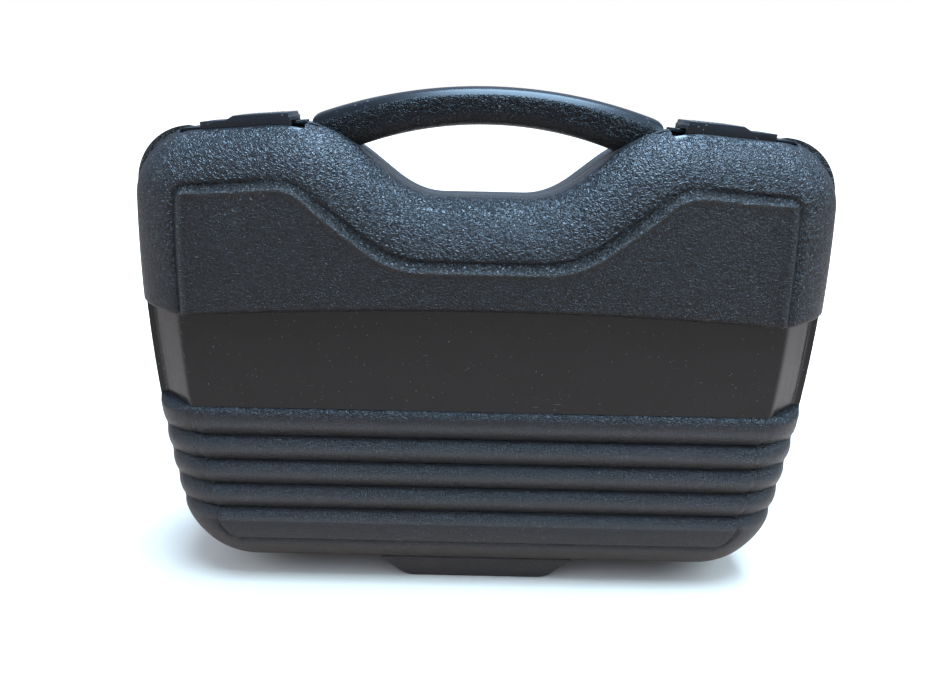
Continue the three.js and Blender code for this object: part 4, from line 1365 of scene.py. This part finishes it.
def pad(node, name, open_side, radius, depth):
    low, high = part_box(node)
    centre = (low + high) / 2 / MM
    half = (high.x - low.x) / 2 / MM
    ys = (low.y / MM - PARTING / MM, high.y / MM - PARTING / MM)
    open_y, back_y = ys if open_side < 0 else ys[::-1]
    sheet_x, sheet_z = pad_sheet(half, low.z / MM, high.z / MM, radius)
    nz, nx = sheet_x.shape
    border = border_of(nx, nz)
    grid = np.stack([sheet_x, np.full_like(sheet_x, open_y), sheet_z], axis=-1)
    shrink = 1 - PAD_EDGE / half
    grid[:, :, 0] *= shrink
    grid[:, :, 2] = centre.z + (grid[:, :, 2] - centre.z) * shrink
    ring = np.array([(sheet_x[j, i], 0, sheet_z[j, i]) for j, i in border])
    edge_y = open_y + (PAD_EDGE if open_side < 0 else -PAD_EDGE)
    rings = [ring + (0, back_y, 0), ring + (0, edge_y, 0)]
    count = len(border)
    last = 2 * count
    loops = [list(range(count)), list(range(count, 2 * count)), [last + j * nx + i for j, i in border]]
    faces = [list(reversed(loops[0]))]
    for a, b in zip(loops, loops[1:]):
        faces += [[a[i], a[(i + 1) % count], b[(i + 1) % count], b[i]] for i in range(count)]
    for j in range(nz - 1):
        for i in range(nx - 1):
            a = last + j * nx + i
            faces.append([a, a + 1, a + nx + 1, a + nx])
    piece = make_object(name, np.concatenate([*rings, grid.reshape(-1, 3)]), faces)
    x, y, z = coordinates_of(piece.data)
    margin = np.minimum(half - np.abs(x), np.minimum(z - low.z / MM, high.z / MM - z))
    write_number(piece.data, "crate_mask", smooth_step(2, 12, margin) * (np.abs(y - open_y) < 0.5))
    run_tree(piece, crate_tree(), {
        "Pitch": CRATE_PITCH * MM, "Depth": -open_side * depth * MM, "Material": foam,
    })
    paint(piece, [foam], 0)
    smooth_shade(piece, 60)
    return piece


base_foam = pad("base_pad", "base_foam", open_side=-1, radius=24, depth=8)
lid_foam = pad("lid_pad", "lid_foam", open_side=1, radius=20, depth=3.6)
print("foam:", len(base_foam.data.polygons), "and", len(lid_foam.data.polygons), "faces")

# %% [markdown]
# ## Inside: dividers
# The compartments are parted by felt-covered boards that stand on the foam. A board's edges are
# soft under the felt, so the frame's plain boards are copied with rolled edges.

# %% Dividers
dividers = []
for node in ("divider_long", "divider_short"):
    board = softened_copy(node, node.replace("divider", "board"), 1.4, segments=3)
    paint(board, [felt], 0)
    smooth_shade(board, 60)
    dividers.append(board)

# %% [markdown]
# ## Small metal and the plugs
# The hinge pin, its plugs and the latch springs have the right shape in the frame already. They
# only need their finish, so their material slots are filled and nothing else changes.

# %% Finishes for the frame's own nodes
for node, material in (
    ("hinge_pin", steel), ("latch_spring_left", steel), ("latch_spring_right", steel),
    ("pin_plug_left", latch_plastic), ("pin_plug_right", latch_plastic),
):
    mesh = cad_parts[node].data
    mesh.materials.clear()
    mesh.materials.append(material)

# %% [markdown]
# ## Every piece on its body
# A finished piece is tied to the body that carries it, and the plain solid it replaces is hidden.
# From here on the joints move it.

# %% Ride and replace
for piece, body, node, finish in (
    (front, "lid", "front_shell", "grained_shell"),
    (lid_tray, "lid", "front_liner", "liner"),
    (lid_foam, "lid", "lid_pad", "foam"),
    (rear, "base", "rear_shell", "grained_shell"),
    (handle, "base", "carry_handle", "grained_shell"),
    (rear_tray, "base", "rear_liner", "liner"),
    (base_foam, "base", "base_pad", "foam"),
    (dividers[0], "base", "divider_long", "liner"),
    (dividers[1], "base", "divider_short", "liner"),
    (latches[0], "latch_left", "latch_slider_left", "smooth_latch"),
    (latches[1], "latch_right", "latch_slider_right", "smooth_latch"),
):
    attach(piece, body)
    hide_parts(node)

# %% [markdown]
# ## Floor, light and camera
# A pale floor and soft window light do most of the work. Black plastic shows mainly what it
# reflects, so the sky is cool above and warm and dim low in front. The floor is pale to the eye and
# fades to white far off, but what the case sees of it is a warm brown, as a wooden floor would be.
# The camera stands close to the case, a little above it, and looks down at it.

# %% Floor
floor_mesh = bpy.data.meshes.new("floor")
FLOOR_REACH = 6.0
turns = ((-1, -1), (1, -1), (1, 1), (-1, 1))
floor_corners = [(FLOOR_REACH * a, FLOOR_REACH * b, 0) for a, b in turns]
floor_mesh.from_pydata(floor_corners, [], [[0, 1, 2, 3]])
floor = bpy.data.objects.new("floor", floor_mesh)
bpy.context.scene.collection.objects.link(floor)
floor_paint, floor_tree, floor_shader = new_material("pale_floor")
where = add(floor_tree, "ShaderNodeTexCoord").outputs["Object"]
mottle = noise(floor_tree, where, 400, detail=3)
distance = add(floor_tree, "ShaderNodeVectorMath", {0: where}, operation="LENGTH").outputs["Value"]
pale = blend_colours(floor_tree, mottle, (0.90, 0.75, 0.60), (0.94, 0.79, 0.64))
in_view = add(floor_tree, "ShaderNodeLightPath").outputs["Is Camera Ray"]
floor_tone = blend_colours(floor_tree, in_view, (0.58, 0.39, 0.29), pale)
floor_tree.links.new(floor_tone, floor_shader.inputs["Base Color"])
floor_shader.inputs["Roughness"].default_value = 0.9
floor_shader.inputs["Emission Color"].default_value = (1.0, 1.0, 1.0, 1.0)
far_away = arithmetic(floor_tree, "MULTIPLY", ramp(floor_tree, distance, 0.25, 0.9), in_view)
floor_tree.links.new(far_away, floor_shader.inputs["Emission Strength"])
floor_mesh.materials.append(floor_paint)

# %% Sky
world = bpy.data.worlds.new("soft sky")
bpy.context.scene.world = world
world.use_nodes = True
sky = world.node_tree
sky.nodes.clear()
direction = add(sky, "ShaderNodeTexCoord").outputs["Generated"]
parts = add(sky, "ShaderNodeSeparateXYZ", {0: direction})
up = ramp(sky, parts.outputs["Z"], 0.0, 0.75)
behind = ramp(sky, parts.outputs["Y"], -0.9, 0.9)
low_sky = blend_colours(sky, behind, (0.10, 0.075, 0.06), (0.35, 0.37, 0.40))
lit = blend_colours(sky, up, low_sky, (0.50, 0.68, 1.0))
seen = add(sky, "ShaderNodeLightPath").outputs["Is Camera Ray"]
colour = blend_colours(sky, seen, lit, (1.0, 1.0, 1.0))
glow = add(sky, "ShaderNodeBackground", {"Color": colour, "Strength": 1.0})
add(sky, "ShaderNodeOutputWorld", {"Surface": glow.outputs[0]})


CASE_MIDDLE = Vector((0, 0, 0.15))


def soft_light(name, location, size, power, tint):
    data = bpy.data.lights.new(name, "AREA")
    data.shape = "RECTANGLE"
    data.size, data.size_y = size
    data.energy = power
    data.color = tint
    lamp = bpy.data.objects.new(name, data)
    lamp.location = location
    lamp.rotation_euler = (CASE_MIDDLE - Vector(location)).to_track_quat("-Z", "Y").to_euler()
    bpy.context.scene.collection.objects.link(lamp)


soft_light("overhead_window", (0.15, 0.0, 1.4), size=(1.2, 0.7), power=60, tint=(0.47, 0.72, 1.0))
soft_light("right_window", (1.2, -0.3, 1.0), size=(0.7, 0.9), power=14, tint=(0.52, 0.76, 1.0))
soft_light("left_window", (-1.5, -0.5, 0.9), size=(0.7, 0.9), power=9, tint=(0.66, 0.83, 1.0))

# %% Camera
CAMERA_LENS = 27.0
CAMERA_TILT = 20.9
CAMERA_ROLL = 1.25
CAMERA_PLACE = (-0.0091, PARTING - 0.397, 0.308)
camera_data = bpy.data.cameras.new("camera")
camera_data.lens = CAMERA_LENS
camera_data.sensor_width = 36.0
camera_data.clip_start = 0.01
camera = bpy.data.objects.new("camera", camera_data)
bpy.context.scene.collection.objects.link(camera)
camera.matrix_world = (
    Matrix.Translation(CAMERA_PLACE)
    @ Matrix.Rotation(math.radians(90 - CAMERA_TILT), 4, "X")
    @ Matrix.Rotation(math.radians(CAMERA_ROLL), 4, "Z")
)
bpy.context.scene.camera = camera
bpy.context.scene.view_settings.view_transform = "Standard"
